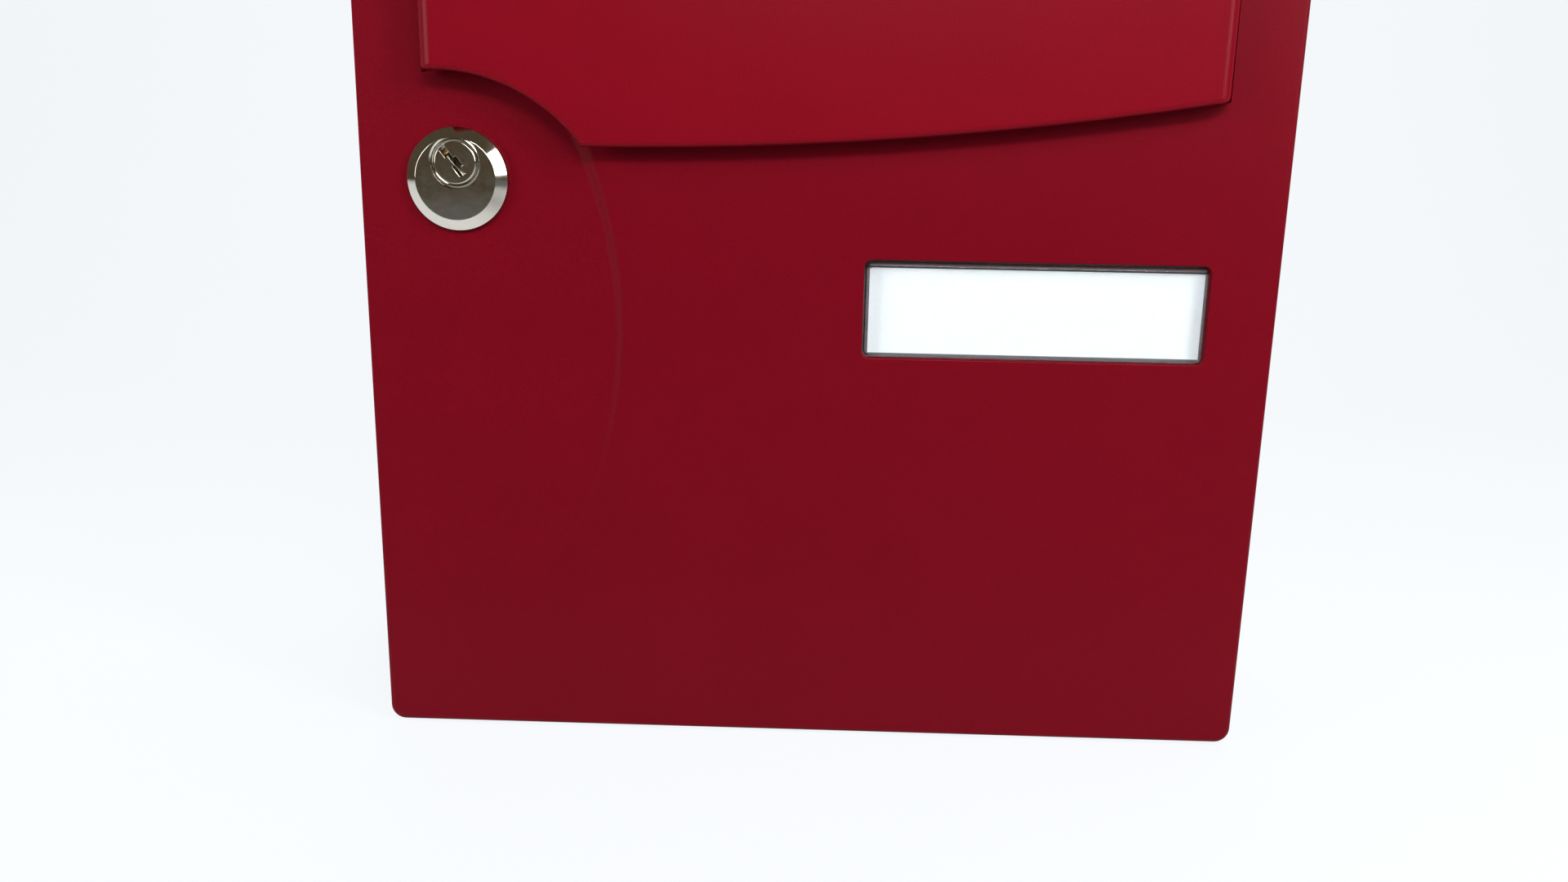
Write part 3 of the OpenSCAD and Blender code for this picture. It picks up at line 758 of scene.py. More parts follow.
@dataclass(frozen=True)
class SoftCopy:
    """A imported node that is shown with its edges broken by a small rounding."""

    node: str
    name: str
    body: Body
    width: float
    rim_width: float = 0.0
    rim_depth: float = 4.2 * MM
    rim_top: float = 240 * MM
    sharp_degrees: float = 32.0
    most_sides: int = 0
    front_facing: float = -0.3
    down_facing: float = -0.2
    upright: float = 0.2

    def on_rim(self, edge: bmesh.types.BMEdge, front: float) -> bool:
        """Tell whether an edge lies on the outer rim of the lower outline.

        Args:
            edge: The edge.
            front: The depth of the foremost point.

        Returns:
            True for an edge between a front face and a wall that looks down.
        """
        middle = (edge.verts[0].co + edge.verts[1].co) / 2
        if not edge.is_convex or middle.y > front + self.rim_depth or middle.z > self.rim_top:
            return False
        normals = sorted((face.normal for face in edge.link_faces), key=lambda n: n.y)
        looks_down = abs(normals[1].y) < self.upright and normals[1].z < self.down_facing
        return normals[0].y < self.front_facing and looks_down

    def split_back(self, work: bmesh.types.BMesh) -> None:
        """Split the faces with many sides, apart from the front, so that their fill stays true.

        Args:
            work: The mesh.
        """
        front_limit = -0.5
        many_sided = [
            face
            for face in work.faces
            if len(face.verts) > self.most_sides and face.normal.y > front_limit
        ]
        bmesh.ops.triangulate(work, faces=many_sided)

    def build(self) -> bpy.types.Object:
        """Build the new piece.

        Returns:
            The new piece.
        """
        work = node_mesh(self.node)
        if self.most_sides > 0:
            self.split_back(work)
        work.normal_update()
        front = min(vert.co.y for vert in work.verts)
        widest = max(self.width, self.rim_width)
        sharp = math.radians(self.sharp_degrees)
        weights = work.edges.layers.float.new("bevel_weight_edge")
        for edge in work.edges:
            if len(edge.link_faces) == 2 and edge.calc_face_angle() >= sharp:
                wide = self.rim_width > 0 and self.on_rim(edge, front)
                edge[weights] = (self.rim_width if wide else self.width) / widest
        piece = placed(self.name, work)
        rounding = piece.modifiers.new("rounding", "BEVEL")
        rounding.width = widest
        rounding.segments = 4 if self.rim_width > 0 else 2
        rounding.limit_method = "WEIGHT"
        rounding.use_clamp_overlap = False
        rounding.harden_normals = False
        weigh_normals(piece)
        return piece


@dataclass(frozen=True)
class Turning:
    """A turned piece: a profile of (distance along the axis, radius) about an axis."""

    origin: tuple[float, float, float]
    axis: Axis
    profile: tuple[Pair, ...]
    count: int = 64

    def add_to(self, builder: MeshBuilder) -> None:
        """Add the closed shape to a mesh.

        Args:
            builder: The mesh.
        """
        along = Vector(self.axis.value)
        across = Axis.ALONG_X if self.axis is Axis.ALONG_Z else Axis.ALONG_Z
        across = Vector(across.value)
        third = along.cross(across)
        rings = []
        for distance, radius in self.profile:
            centre = Vector(self.origin) + along * distance
            circle = circle_points(radius, self.count)
            rings.append(builder.ring(centre + across * u + third * v for u, v in circle))
        builder.loft(rings)
        if self.profile[0] != self.profile[-1]:
            builder.faces.append(tuple(rings[0]))
            builder.faces.append(tuple(reversed(rings[-1])))

    def piece(self, name: str) -> bpy.types.Object:
        """Build the shape as a piece of its own.

        Args:
            name: The piece's name.

        Returns:
            The piece.
        """
        builder = MeshBuilder()
        self.add_to(builder)
        return builder.piece(name)


def arc_profile(centre: Pair, radius: float, start: float, end: float, steps: int) -> list[Pair]:
    """Points of an arc in a profile.

    Args:
        centre: The arc's centre, as (distance along the axis, radius).
        radius: The arc's own radius.
        start: The angle at which it starts, in degrees from the axis.
        end: The angle at which it ends.
        steps: The number of steps.

    Returns:
        The points.
    """
    turns = [math.radians(start + (end - start) * i / steps) for i in range(steps + 1)]
    return [(centre[0] + radius * math.cos(a), centre[1] + radius * math.sin(a)) for a in turns]


# Sub-assemblies


@dataclass
class DoorMoulding:
    """The moulded door: a face with its fading arc step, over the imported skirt, ribs and lugs."""

    width: float = 256 * MM
    height: float = 326 * MM
    corner: float = 4.5 * MM
    edge: float = 1.5 * MM
    plate: float = 2.2 * MM
    lift: float = 0.8 * MM
    front: float = -47.5 * MM
    step_centre: Pair = (-188.6 * MM, 123.2 * MM)
    step_radius: float = 132 * MM
    step_depth: float = 1.4 * MM
    step_run: float = 2.0
    step_top: float = 171.6 * MM
    step_fade: float = 42 * MM
    step_soft: float = 0.5 * MM
    seat_centre: Pair = (-100.4 * MM, 162.6 * MM)
    seat_radius: float = 14.4 * MM
    seat_depth: float = 1.5 * MM
    seat_bore: float = 11.0 * MM
    window: RoundRectangle = RoundRectangle(96 * MM, 27.4 * MM, 2 * MM, (60.8 * MM, 129.1 * MM))
    slot: RoundRectangle = RoundRectangle(200 * MM, 34 * MM, 4 * MM, (0.0, 232 * MM))
    hole_roll: float = 0.5 * MM
    seat_roll: float = 0.12 * MM
    round_steps: int = 8
    guide_reach: float = 1.6 * MM
    guide_gap: float = 0.3 * MM

    def outline(self) -> RoundRectangle:
        """The door's outline in its own frame."""
        return RoundRectangle(self.width, self.height, self.corner, (0.0, self.height / 2))

    def recess(self, x: float, z: float) -> float:
        """Depth of the stepped-back area behind the front plane, with soft edges.

        Args:
            x: Place across the door.
            z: Place up the door.

        Returns:
            The depth.
        """
        away = math.hypot(x - self.step_centre[0], z - self.step_centre[1])
        slope = self.step_depth / 2 - (away - self.step_radius) / self.step_run
        floor = (z - self.step_fade) * self.step_depth / (self.step_top - self.step_fade)
        return self.soft_max(-self.soft_max(-slope, -floor), 0.0)

    def soft_max(self, a: float, b: float) -> float:
        """The larger of two depths, rounded off where they come near each other."""
        near = max(self.step_soft - abs(a - b), 0.0) / self.step_soft
        return max(a, b) + near * near * self.step_soft / 4

    def on_face(self, point: Pair, depth: float) -> Vector:
        """A point of the door's frame in the row's frame.

        Args:
            point: Place across and up the door.
            depth: Depth behind the front plane.

        Returns:
            The place in the row's frame.
        """
        return Vector((point[0], self.front + depth, point[1] + self.lift))

    def rolled_rings(
        self,
        builder: MeshBuilder,
        points_at: Callable[[float], list[Pair]],
        roll: float,
        steps: int,
        outer: bool,
    ) -> tuple[list[int], list[int], list[Pair]]:
        """Rings that roll an edge of the face over to its wall.

        Args:
            builder: The mesh.
            points_at: Gives the ring's points at a distance into the face.
            roll: The radius of the rolled edge.
            steps: The number of rings across it.
            outer: True for the door's outline, where the recess and the edge merge.

        Returns:
            The wall's ring, the face's ring and the face's points.
        """
        wall: list[int] = []
        before: list[int] = []
        points: list[Pair] = []
        for k in range(steps + 1):
            a = math.pi / 2 * k / steps
            points = points_at(roll * (1 - math.cos(a)))
            drop = roll * (1 - math.sin(a))
            depths = [self.recess(*p) for p in points]
            if outer:
                depths = [self.soft_max(drop, d) if drop > 0 else d for d in depths]
            else:
                depths = [d + drop for d in depths]
            ring = builder.ring(self.on_face(p, d) for p, d in zip(points, depths))
            if before:
                builder.band(before, ring)
            else:
                wall = ring
            before = ring
        return wall, before, points

    def guide_lines(self) -> list[list[Pair]]:
        """Arcs along the step, close together where the face bends.

        Returns:
            Lines of points inside the face.
        """
        keep_out = 0.4 * MM
        lines: list[list[Pair]] = []
        outline = self.outline()
        half = self.step_depth * self.step_run / 2
        offset = -half - self.guide_reach
        while offset < half + self.guide_reach + self.guide_gap / 3:
            line: list[Pair] = []
            radius = self.step_radius + offset
            for i in range(0, 361):
                a = math.radians(-90 + i / 2)
                x = self.step_centre[0] + radius * math.cos(a)
                z = self.step_centre[1] + radius * math.sin(a)
                clear = outline.depth(x, z) > self.edge + keep_out and not any(
                    hole.inside(x, z, self.hole_roll + keep_out)
                    for hole in (self.window, self.slot)
                )
                if clear:
                    line.append((x, z))
                elif line:
                    lines.append(line)
                    line = []
            if line:
                lines.append(line)
            offset += self.guide_gap
        return lines

    def field_points(self) -> list[Pair]:
        """A loose grid over the face, closer in the fading recess.

        Returns:
            The points.
        """
        pitch = 8 * MM
        keep_out = 2 * MM
        outline = self.outline()
        points: list[Pair] = []
        across = int(self.width / pitch)
        up = int(self.height / pitch)
        for i in range(across + 1):
            for k in range(up + 1):
                x = (i - across / 2) * pitch
                z = k * pitch
                away = math.hypot(x - self.seat_centre[0], z - self.seat_centre[1])
                if (
                    outline.depth(x, z) > self.edge + keep_out
                    and away > self.seat_radius + keep_out
                    and not any(hole.inside(x, z, keep_out) for hole in (self.window, self.slot))
                ):
                    points.append((x, z))
        return points

    def face(self, builder: MeshBuilder) -> None:
        """Add the door's front as a closed plate.

        Args:
            builder: The mesh.
        """
        outline = self.outline()
        step = 3 * MM

        def seat_points(grow: float) -> list[Pair]:
            """Points round the lock's seat."""
            return circle_points(self.seat_radius + grow, 96, self.seat_centre)

        edges = [
            self.rolled_rings(
                builder, lambda d: outline.points(-d, step), self.edge, self.round_steps, True
            ),
            self.rolled_rings(
                builder, lambda d: self.window.points(d, step), self.hole_roll, 4, False
            ),
            self.rolled_rings(
                builder, lambda d: self.slot.points(d, step), self.hole_roll, 4, False
            ),
            self.rolled_rings(builder, seat_points, self.seat_roll, 3, False),
        ]
        self.fill_face(builder, [(ring, points) for _, ring, points in edges])
        back_rings = []
        for wall, _, _ in edges[:3]:
            back_rings.append(self.wall_back(builder, wall, self.plate))
        floor = self.wall_back(builder, edges[3][0], self.seat_depth)
        bore = builder.ring(
            self.on_face(p, self.seat_depth)
            for p in circle_points(self.seat_bore, 96, self.seat_centre)
        )
        builder.band(floor, bore)
        back_rings.append(self.wall_back(builder, bore, self.plate))
        builder.fill(back_rings)

    def wall_back(self, builder: MeshBuilder, ring: Sequence[int], depth: float) -> list[int]:
        """Draw a wall from a ring straight back to a depth.

        Args:
            builder: The mesh.
            ring: The ring at the wall's front.
            depth: Where the wall ends, behind the front plane.

        Returns:
            The ring at the wall's back.
        """
        back = builder.ring(
            Vector((builder.points[i].x, self.front + depth, builder.points[i].z)) for i in ring
        )
        builder.band(ring, back)
        return back

    def fill_face(
        self, builder: MeshBuilder, edges: Sequence[tuple[Sequence[int], Sequence[Pair]]]
    ) -> None:
        """Fill the face between its rolled edges, following the arc step.

        Args:
            builder: The mesh.
            edges: The ring numbers and points of the outline and of each hole.
        """
        flat: list[Vector] = []
        links: list[tuple[int, int]] = []
        numbers: list[int] = []
        for ring, points in edges:
            start = len(flat)
            flat.extend(Vector(p) / MM for p in points)
            numbers.extend(ring)
            count = len(points)
            links.extend((start + i, start + (i + 1) % count) for i in range(count))
        inner: list[Pair] = []
        for line in self.guide_lines():
            start = len(flat) + len(inner)
            inner.extend(line)
            links.extend((start + i, start + i + 1) for i in range(len(line) - 1))
        inner.extend(self.field_points())
        flat.extend(Vector(p) / MM for p in inner)
        numbers.extend(builder.ring(self.on_face(p, self.recess(*p)) for p in inner))
        places, _, triangles, sources, _, _ = delaunay_2d_cdt(flat, links, [], 0, 1e-5)
        lookup = self.matched(places, sources, numbers, builder)
        for triangle in triangles:
            x = sum(places[i].x for i in triangle) / 3 * MM
            z = sum(places[i].y for i in triangle) / 3 * MM
            if self.on_plate(x, z):
                builder.faces.append(tuple(lookup[i] for i in triangle))

    def matched(
        self,
        places: Sequence[Vector],
        sources: Sequence[Sequence[int]],
        numbers: Sequence[int],
        builder: MeshBuilder,
    ) -> list[int]:
        """Match the triangulation's points with the mesh's own.

        Args:
            places: The points after the triangulation, in millimetres.
            sources: Which of the given points each stands for.
            numbers: The mesh's numbers of the given points.
            builder: The mesh.

        Returns:
            The mesh's number of each point.
        """
        lookup = []
        for place, source in zip(places, sources):
            if source:
                lookup.append(numbers[source[0]])
            else:
                point = (place.x * MM, place.y * MM)
                lookup.extend(builder.ring([self.on_face(point, self.recess(*point))]))
        return lookup

    def on_plate(self, x: float, z: float) -> bool:
        """Tell whether a point lies on the face and in none of its holes.

        Args:
            x: Place across the door.
            z: Place up the door.

        Returns:
            True if the face is solid there.
        """
        away = math.hypot(x - self.seat_centre[0], z - self.seat_centre[1])
        return (
            self.outline().inside(x, z, -self.edge)
            and away > self.seat_radius + self.seat_roll
            and not self.window.inside(x, z, self.hole_roll)
            and not self.slot.inside(x, z, self.hole_roll)
        )

    def packed_rest(self, builder: MeshBuilder) -> None:
        """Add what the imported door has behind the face's plate and in front of it.

        Args:
            builder: The mesh.
        """
        behind = node_mesh("door_panel")
        cut = bmesh.ops.bisect_plane(
            behind,
            geom=[*behind.verts, *behind.edges, *behind.faces],
            dist=1e-7,
            plane_co=(0.0, self.front + self.plate, 0.0),
            plane_no=(0.0, -1.0, 0.0),
            clear_outer=True,
        )
        rim = [e for e in cut["geom_cut"] if isinstance(e, bmesh.types.BMEdge)]
        bmesh.ops.triangle_fill(behind, edges=rim, use_beauty=True, use_dissolve=False)
        builder.add_mesh(behind)
        behind.free()
        proud = node_mesh("door_panel")
        flat = [
            face
            for face in proud.faces
            if all(v.co.y > self.front - 0.01 * MM for v in face.verts)
        ]
        bmesh.ops.delete(proud, geom=flat, context="FACES")
        rim = [e for e in proud.edges if e.is_boundary]
        drawn = bmesh.ops.extrude_edge_only(proud, edges=rim)
        sunk = [v for v in drawn["geom"] if isinstance(v, bmesh.types.BMVert)]
        bmesh.ops.translate(proud, verts=sunk, vec=(0.0, self.plate / 2, 0.0))
        rim = [e for e in proud.edges if e.is_boundary]
        bmesh.ops.triangle_fill(proud, edges=rim, use_beauty=True, use_dissolve=False)
        builder.add_mesh(proud)
        proud.free()

    def build(self) -> bpy.types.Object:
        """Build the whole door moulding.

        Returns:
            The piece.
        """
        builder = MeshBuilder()
        self.face(builder)
        self.packed_rest(builder)
        return builder.piece("door_moulding")


@dataclass
class LockHead:
    """The lock's head, its bore for the plug and its threaded barrel with two flats."""

    centre: tuple[float, float] = (-100.4 * MM, 163.4 * MM)
    front: float = -47.5 * MM
    head_y: float = -2.5 * MM
    seat_y: float = 1.5 * MM
    end_y: float = 18.0 * MM
    face_radius: float = 11.1 * MM
    head_radius: float = 14.0 * MM
    rim: float = 2.0 * MM
    plug_up: float = 4.4 * MM
    bore_wide: float = 6.25 * MM
    bore_step: float = 2.5 * MM
    bore_narrow: float = 5.25 * MM
    sunk: float = 0.9 * MM
    barrel_radius: float = 11.0 * MM
    half_flats: float = 10.0 * MM
    pitch: float = 1.0 * MM
    thread_depth: float = 0.55 * MM
    roll: float = 0.3 * MM
    count: int = 144

    def ring(self, builder: MeshBuilder, y: float, radius: float, up: float = 0.0) -> list[int]:
        """Add one round ring.

        Args:
            builder: The mesh.
            y: Its depth behind the door's front plane.
            radius: Its radius.
            up: How far its centre lies above the lock's.

        Returns:
            The numbers of its points.
        """
        points = circle_points(radius, self.count, (self.centre[0], self.centre[1] + up))
        return builder.ring(Vector((x, self.front + y, z)) for x, z in points)

    def head_profile(self) -> list[Pair]:
        """The head's profile from its face over its bevel to the seat.

        Returns:
            Pairs of depth and radius.
        """
        slope = math.atan2(
            self.seat_y - self.rim - self.head_y, self.head_radius - self.face_radius
        )
        steps = 4
        face_set = self.roll * math.tan(slope / 2)
        points = []
        for k in range(steps + 1):
            a = slope * k / steps
            points.append(
                (
                    self.head_y + self.roll * (1 - math.cos(a)),
                    self.face_radius - face_set + self.roll * math.sin(a),
                )
            )
        rim_set = self.roll * math.tan((math.pi / 2 - slope) / 2)
        for k in range(steps + 1):
            a = slope + (math.pi / 2 - slope) * k / steps
            points.append(
                (
                    self.seat_y - self.rim + rim_set - self.roll * math.cos(a),
                    self.head_radius - self.roll + self.roll * math.sin(a),
                )
            )
        points.append((self.seat_y, self.head_radius))
        return points

    def thread_ring(self, builder: MeshBuilder, y: float) -> list[int]:
        """Add one ring of the threaded barrel, flattened on two sides.

        Args:
            builder: The mesh.
            y: Its depth behind the door's front plane.

        Returns:
            The numbers of its points.
        """
        points = []
        relief = 1.6 * MM
        ends = min(y - self.seat_y - relief, self.end_y - y) / (self.pitch * 0.8)
        for i in range(self.count):
            share = i / self.count
            wave = abs(((y / self.pitch + share) % 1.0) * 2 - 1)
            cut = self.thread_depth * min(1.0, wave * 1.15)
            radius = self.barrel_radius - (cut if ends >= 1 else self.thread_depth)
            a = 2 * math.pi * share
            x = max(-self.half_flats, min(self.half_flats, radius * math.cos(a)))
            points.append((self.centre[0] + x, self.centre[1] + radius * math.sin(a)))
        return builder.ring(Vector((x, self.front + y, z)) for x, z in points)

    def build(self) -> bpy.types.Object:
        """Build the head and the barrel.

        Returns:
            The piece.
        """
        builder = MeshBuilder()
        lip = 0.08 * MM
        rings = [
            self.ring(builder, self.end_y, self.bore_narrow, self.plug_up),
            self.ring(builder, self.head_y + self.bore_step, self.bore_narrow, self.plug_up),
            self.ring(builder, self.head_y + self.bore_step, self.bore_wide, self.plug_up),
            self.ring(builder, self.head_y + self.sunk + lip, self.bore_wide, self.plug_up),
            self.ring(builder, self.head_y + self.sunk - lip, self.bore_wide + lip, self.plug_up),
        ]
        rings.append(self.countersink(builder))
        rings += [self.ring(builder, y, radius) for y, radius in self.head_profile()[1:]]
        rows = int((self.end_y - self.seat_y) / self.pitch * 8)
        for k in range(rows + 1):
            y = self.seat_y + (self.end_y - self.seat_y) * k / rows
            rings.append(self.thread_ring(builder, y))
        builder.loft([*rings, rings[0]])
        return builder.piece("lock_head", 28)

    def countersink(self, builder: MeshBuilder) -> list[int]:
        """Add the ring of the countersink's mouth, which opens into the bevel at the top.

        Args:
            builder: The mesh.

        Returns:
            The numbers of its points.
        """
        mouth = self.bore_wide + self.sunk
        inner = circle_points(mouth, self.count, (0.0, self.plug_up))
        slope = (self.seat_y - self.rim - self.head_y) / (self.head_radius - self.face_radius)
        points = []
        for x, z in inner:
            sink = 0.0
            if math.hypot(x, z) > self.face_radius:
                x, z, sink = self.meeting(x, z - self.plug_up, slope)
            y = self.front + self.head_y + sink
            points.append(Vector((self.centre[0] + x, y, self.centre[1] + z)))
        return builder.ring(points)

    def meeting(self, x: float, z: float, slope: float) -> tuple[float, float, float]:
        """Where the countersink meets the head's bevel along one direction from the plug's axis.

        Args:
            x: The direction's x.
            z: The direction's z.
            slope: How much the bevel falls for each unit outwards.

        Returns:
            The meeting point's x and z from the lock's centre, and its depth behind the face.
        """
        mouth = self.bore_wide + self.sunk
        unit = Vector((x, z)).normalized()
        low, high = self.bore_wide, mouth
        for _ in range(24):
            middle = (low + high) / 2
            place = unit * middle + Vector((0.0, self.plug_up))
            bevel = (place.length - self.face_radius) * slope
            if bevel > mouth - middle:
                high = middle
            else:
                low = middle
        place = unit * low + Vector((0.0, self.plug_up))
        return place.x, place.y, mouth - low


@dataclass
class NameCard:
    """The card as it lies in its recess, set down and to the right so that the dark tray shows
    along the top and the left as painted shade.
    """

    front: float = -43.3 * MM
    thickness: float = 0.3 * MM
    lift: float = 0.8 * MM
    fold: float = 0.06 * MM
    outline: RoundRectangle = RoundRectangle(
        94.8 * MM, 24.4 * MM, 0.8 * MM, (61.9 * MM, 128.4 * MM)
    )

    def build(self) -> bpy.types.Object:
        """Build the card, its cut edges a little rounded.

        Returns:
            The piece.
        """
        builder = MeshBuilder()
        rings = []
        for depth, grow in (
            (0.0, -self.fold),
            (self.fold, 0.0),
            (self.thickness - self.fold, 0.0),
            (self.thickness, -self.fold),
        ):
            y = self.front + depth
            points = self.outline.points(grow, 6 * MM)
            rings.append(builder.ring(Vector((x, y, z + self.lift)) for x, z in points))
        builder.loft(rings)
        builder.fill([rings[0]])
        builder.fill([rings[-1]])
        return builder.piece("name_card_sheet")


@dataclass
class Fasteners:
    """Rivets, pins, rod, buffers, washers and nut, turned to their profiles."""

    rivet_head: float = 3.2 * MM
    rivet_rise: float = 1.2 * MM
    rivet_shank: float = 1.6 * MM
    rivet_tail: float = 2.4 * MM
    rivet_mouth: float = 1.0 * MM
    rivet_places: Sequence[float] = (0.13, 0.5, 0.87)
    sheet_x: float = 126.5 * MM
    box_height: float = 327.6 * MM
    nut_hole: float = 11.05 * MM
    nut_break: float = 0.4 * MM
    nut_slope: float = 28.0
    nut_points: int = 144

    def rivet(self, builder: MeshBuilder, x: float, y: float, z: float, grip: float) -> None:
        """Add one blind rivet with the hollow that its mandrel left.

        Args:
            builder: The mesh.
            x: The sheet's face, and its sign the side that the head is on.
            y: Place along the depth.
            z: Height.
            grip: The thickness that it holds.
        """
        side = math.copysign(1.0, x)
        rise = self.rivet_rise
        dome = (self.rivet_head**2 + rise**2) / (2 * rise)
        outline = [(-grip - 1.2 * MM, 0.7 * MM), (-grip - 1.2 * MM, self.rivet_tail - 0.3 * MM)]
        outline += [(-grip - 0.9 * MM, self.rivet_tail), (-grip, self.rivet_tail)]
        outline += [(-grip, self.rivet_shank), (0.0, self.rivet_shank), (0.0, self.rivet_head)]
        steps = 8
        for k in range(steps + 1):
            radius = self.rivet_head + (self.rivet_mouth - self.rivet_head) * k / steps
            outline.append((rise - dome + math.sqrt(dome**2 - radius**2), radius))
        outline += [(rise - 0.75 * MM, 0.85 * MM), (rise - 0.8 * MM, 0.3 * MM)]
        profile = tuple((side * along, radius) for along, radius in outline)
        Turning((x, y, z), Axis.ALONG_X, profile, 40).add_to(builder)

    def rivets(self) -> bpy.types.Object:
        """Build all ten rivets.

        Returns:
            The piece.
        """
        builder = MeshBuilder()
        back_y, back_grip = 49 * MM, 2.1 * MM
        for sign in (-1, 1):
            for share in self.rivet_places:
                x, z = sign * self.sheet_x, self.box_height * share
                self.rivet(builder, x, back_y, z, back_grip)
        bracket_grip = 2.5 * MM
        for z in (38.8 * MM, 274.8 * MM):
            for y in (-18.7 * MM, -4.7 * MM):
                self.rivet(builder, self.sheet_x, y, z, bracket_grip)
        return builder.piece("blind_rivets")

    def hinge_pin(self, node: str, name: str) -> bpy.types.Object:
        """Build a headed pin with a bevelled tip.

        Args:
            node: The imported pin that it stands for.
            name: The piece's name.

        Returns:
            The piece.
        """
        low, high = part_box(node)
        radius, head, cap, roll = 2 * MM, 3 * MM, 1.2 * MM, 0.4 * MM
        length = high.z - low.z
        profile = [(0.0, radius - 0.5 * MM), (0.6 * MM, radius), (length - cap, radius)]
        profile += [(length - cap, head - 0.1 * MM), (length - cap + 0.1 * MM, head)]
        profile += arc_profile((length - roll, head - roll), roll, 90, 0, 4)
        origin = ((low.x + high.x) / 2, (low.y + high.y) / 2, low.z)
        return Turning(origin, Axis.ALONG_Z, tuple(profile), 48).piece(name)

    def flap_rod(self) -> bpy.types.Object:
        """Build the flap's rod with rounded ends.

        Returns:
            The piece.
        """
        low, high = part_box("flap_rod")
        radius, roll = 1.25 * MM, 0.4 * MM
        length = high.x - low.x
        profile = arc_profile((roll, radius - roll), roll, 180, 90, 4)
        profile += arc_profile((length - roll, radius - roll), roll, 90, 0, 4)
        origin = (low.x, (low.y + high.y) / 2, (low.z + high.z) / 2)
        return Turning(origin, Axis.ALONG_X, tuple(profile), 40).piece("flap_rod_bar")

    def buffers(self) -> bpy.types.Object:
        """Build the two rubber buffers: a rounded disc, a neck and a snap-in foot.

        Returns:
            The piece.
        """
        low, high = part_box("flap_buffers")
        radius, roll, disc, neck, foot = 4 * MM, 0.6 * MM, 1.5 * MM, 1.55 * MM, 4.6 * MM
        profile = arc_profile((roll, radius - roll), roll, 180, 90, 6)
        profile += [(disc, radius), (disc, neck), (foot, neck)]
        profile += [(foot, 2.4 * MM), (5.2 * MM, 2.2 * MM), (5.4 * MM, 1.6 * MM)]
        builder = MeshBuilder()
        for x in (low.x + radius, high.x - radius):
            origin = (x, low.y, (low.z + high.z) / 2)
            Turning(origin, Axis.ALONG_Y, tuple(profile), 56).add_to(builder)
        return builder.piece("rubber_buffers")

    def washer(self, node: str, name: str, hole: float) -> bpy.types.Object:
        """Build a stamped washer: rounded on one face, sharp on the other.

        Args:
            node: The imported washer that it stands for.
            name: The piece's name.
            hole: The radius of its hole.

        Returns:
            The piece.
        """
        low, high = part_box(node)
        radius, thick = (high.x - low.x) / 2, high.y - low.y
        roll = min(0.25 * MM, thick / 3)
        profile = [(0.0, hole), (0.0, radius), (thick - roll, radius)]
        profile += arc_profile((thick - roll, radius - roll), roll, 90, 0, 4)[1:]
        profile += arc_profile((thick - roll, hole + roll), roll, 0, -90, 4)
        profile += [(0.0, hole)]
        origin = ((low.x + high.x) / 2, low.y, (low.z + high.z) / 2)
        return Turning(origin, Axis.ALONG_Y, tuple(profile), 96).piece(name)

    def hex_nut(self) -> bpy.types.Object:
        """Build the lock's nut, its corners bevelled by turning on both faces.

        Returns:
            The piece.
        """
        low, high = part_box("lock_nut")
        centre = ((low.x + high.x) / 2, (low.z + high.z) / 2)
        flats = (high.z - low.z) / 2
        mouth = self.nut_hole + self.nut_break
        rows = [(high.y, mouth), (high.y - self.nut_break, self.nut_hole)]
        rows += [(low.y + self.nut_break, self.nut_hole), (low.y, mouth)]
        steps = 6
        first = flats - 0.3 * MM
        reach = flats / math.cos(math.pi / 6) - first
        turned = [(first + reach * k / steps, reach * k / steps) for k in range(steps + 1)]
        fall = math.tan(math.radians(self.nut_slope))
        rows += [(low.y + out * fall, limit) for limit, out in turned]
        rows += [(high.y - out * fall, limit) for limit, out in reversed(turned)]
        builder = MeshBuilder()
        rings = [self.nut_ring(builder, centre, y, limit, flats) for y, limit in rows]
        builder.loft([*rings, rings[0]])
        return builder.piece("barrel_nut", 20)

    def nut_ring(
        self, builder: MeshBuilder, centre: Pair, y: float, limit: float, flats: float
    ) -> list[int]:
        """Add a ring of the nut: a circle cut off at the six flats.

        Args:
            builder: The mesh.
            centre: The nut's centre.
            y: The ring's depth.
            limit: The circle's radius.
            flats: Half the width across the flats.

        Returns:
            The numbers of its points.
        """
        sixth = math.pi / 3
        points = []
        for i in range(self.nut_points):
            a = 2 * math.pi * i / self.nut_points
            radius = min(limit, flats / math.cos(a % sixth - sixth / 2))
            x, z = centre[0] + radius * math.cos(a), centre[1] + radius * math.sin(a)
            points.append(Vector((x, y, z)))
        return builder.ring(points)


# Studio


@dataclass(frozen=True)
class SoftBox:
    """A rectangular lamp, aimed at the middle of the box's front."""

    name: str
    azimuth: float
    elevation: float
    distance: float
    size: Pair
    power: float
    aim: tuple[float, float, float] = (0.0, -0.0475, 0.15)

    def hang(self) -> None:
        """Put the lamp in the scene."""
        side, rise = math.radians(self.azimuth), math.radians(self.elevation)
        flat = math.cos(rise)
        way = Vector((math.sin(side) * flat, -math.cos(side) * flat, math.sin(rise)))
        lamp = bpy.data.lights.new(self.name, "AREA")
        lamp.shape = "RECTANGLE"
        lamp.size, lamp.size_y = self.size
        lamp.energy = self.power
        holder = bpy.data.objects.new(self.name, lamp)
        holder.location = Vector(self.aim) + way * self.distance
        holder.rotation_euler = way.to_track_quat("Z", "Y").to_euler()
        bpy.context.scene.collection.objects.link(holder)


SOFT_BOXES: tuple[SoftBox, ...] = (
    SoftBox("lamp_above", 8, 31, 0.85, (0.5, 0.12), 3.6),
    SoftBox("lamp_right", 50, 27, 0.72, (0.2, 0.46), 3.0),
    SoftBox("lamp_left", -56, 14, 0.9, (0.34, 0.4), 2.9),
    SoftBox("lamp_behind", 170, 60, 1.0, (1.2, 0.6), 4.0),
)


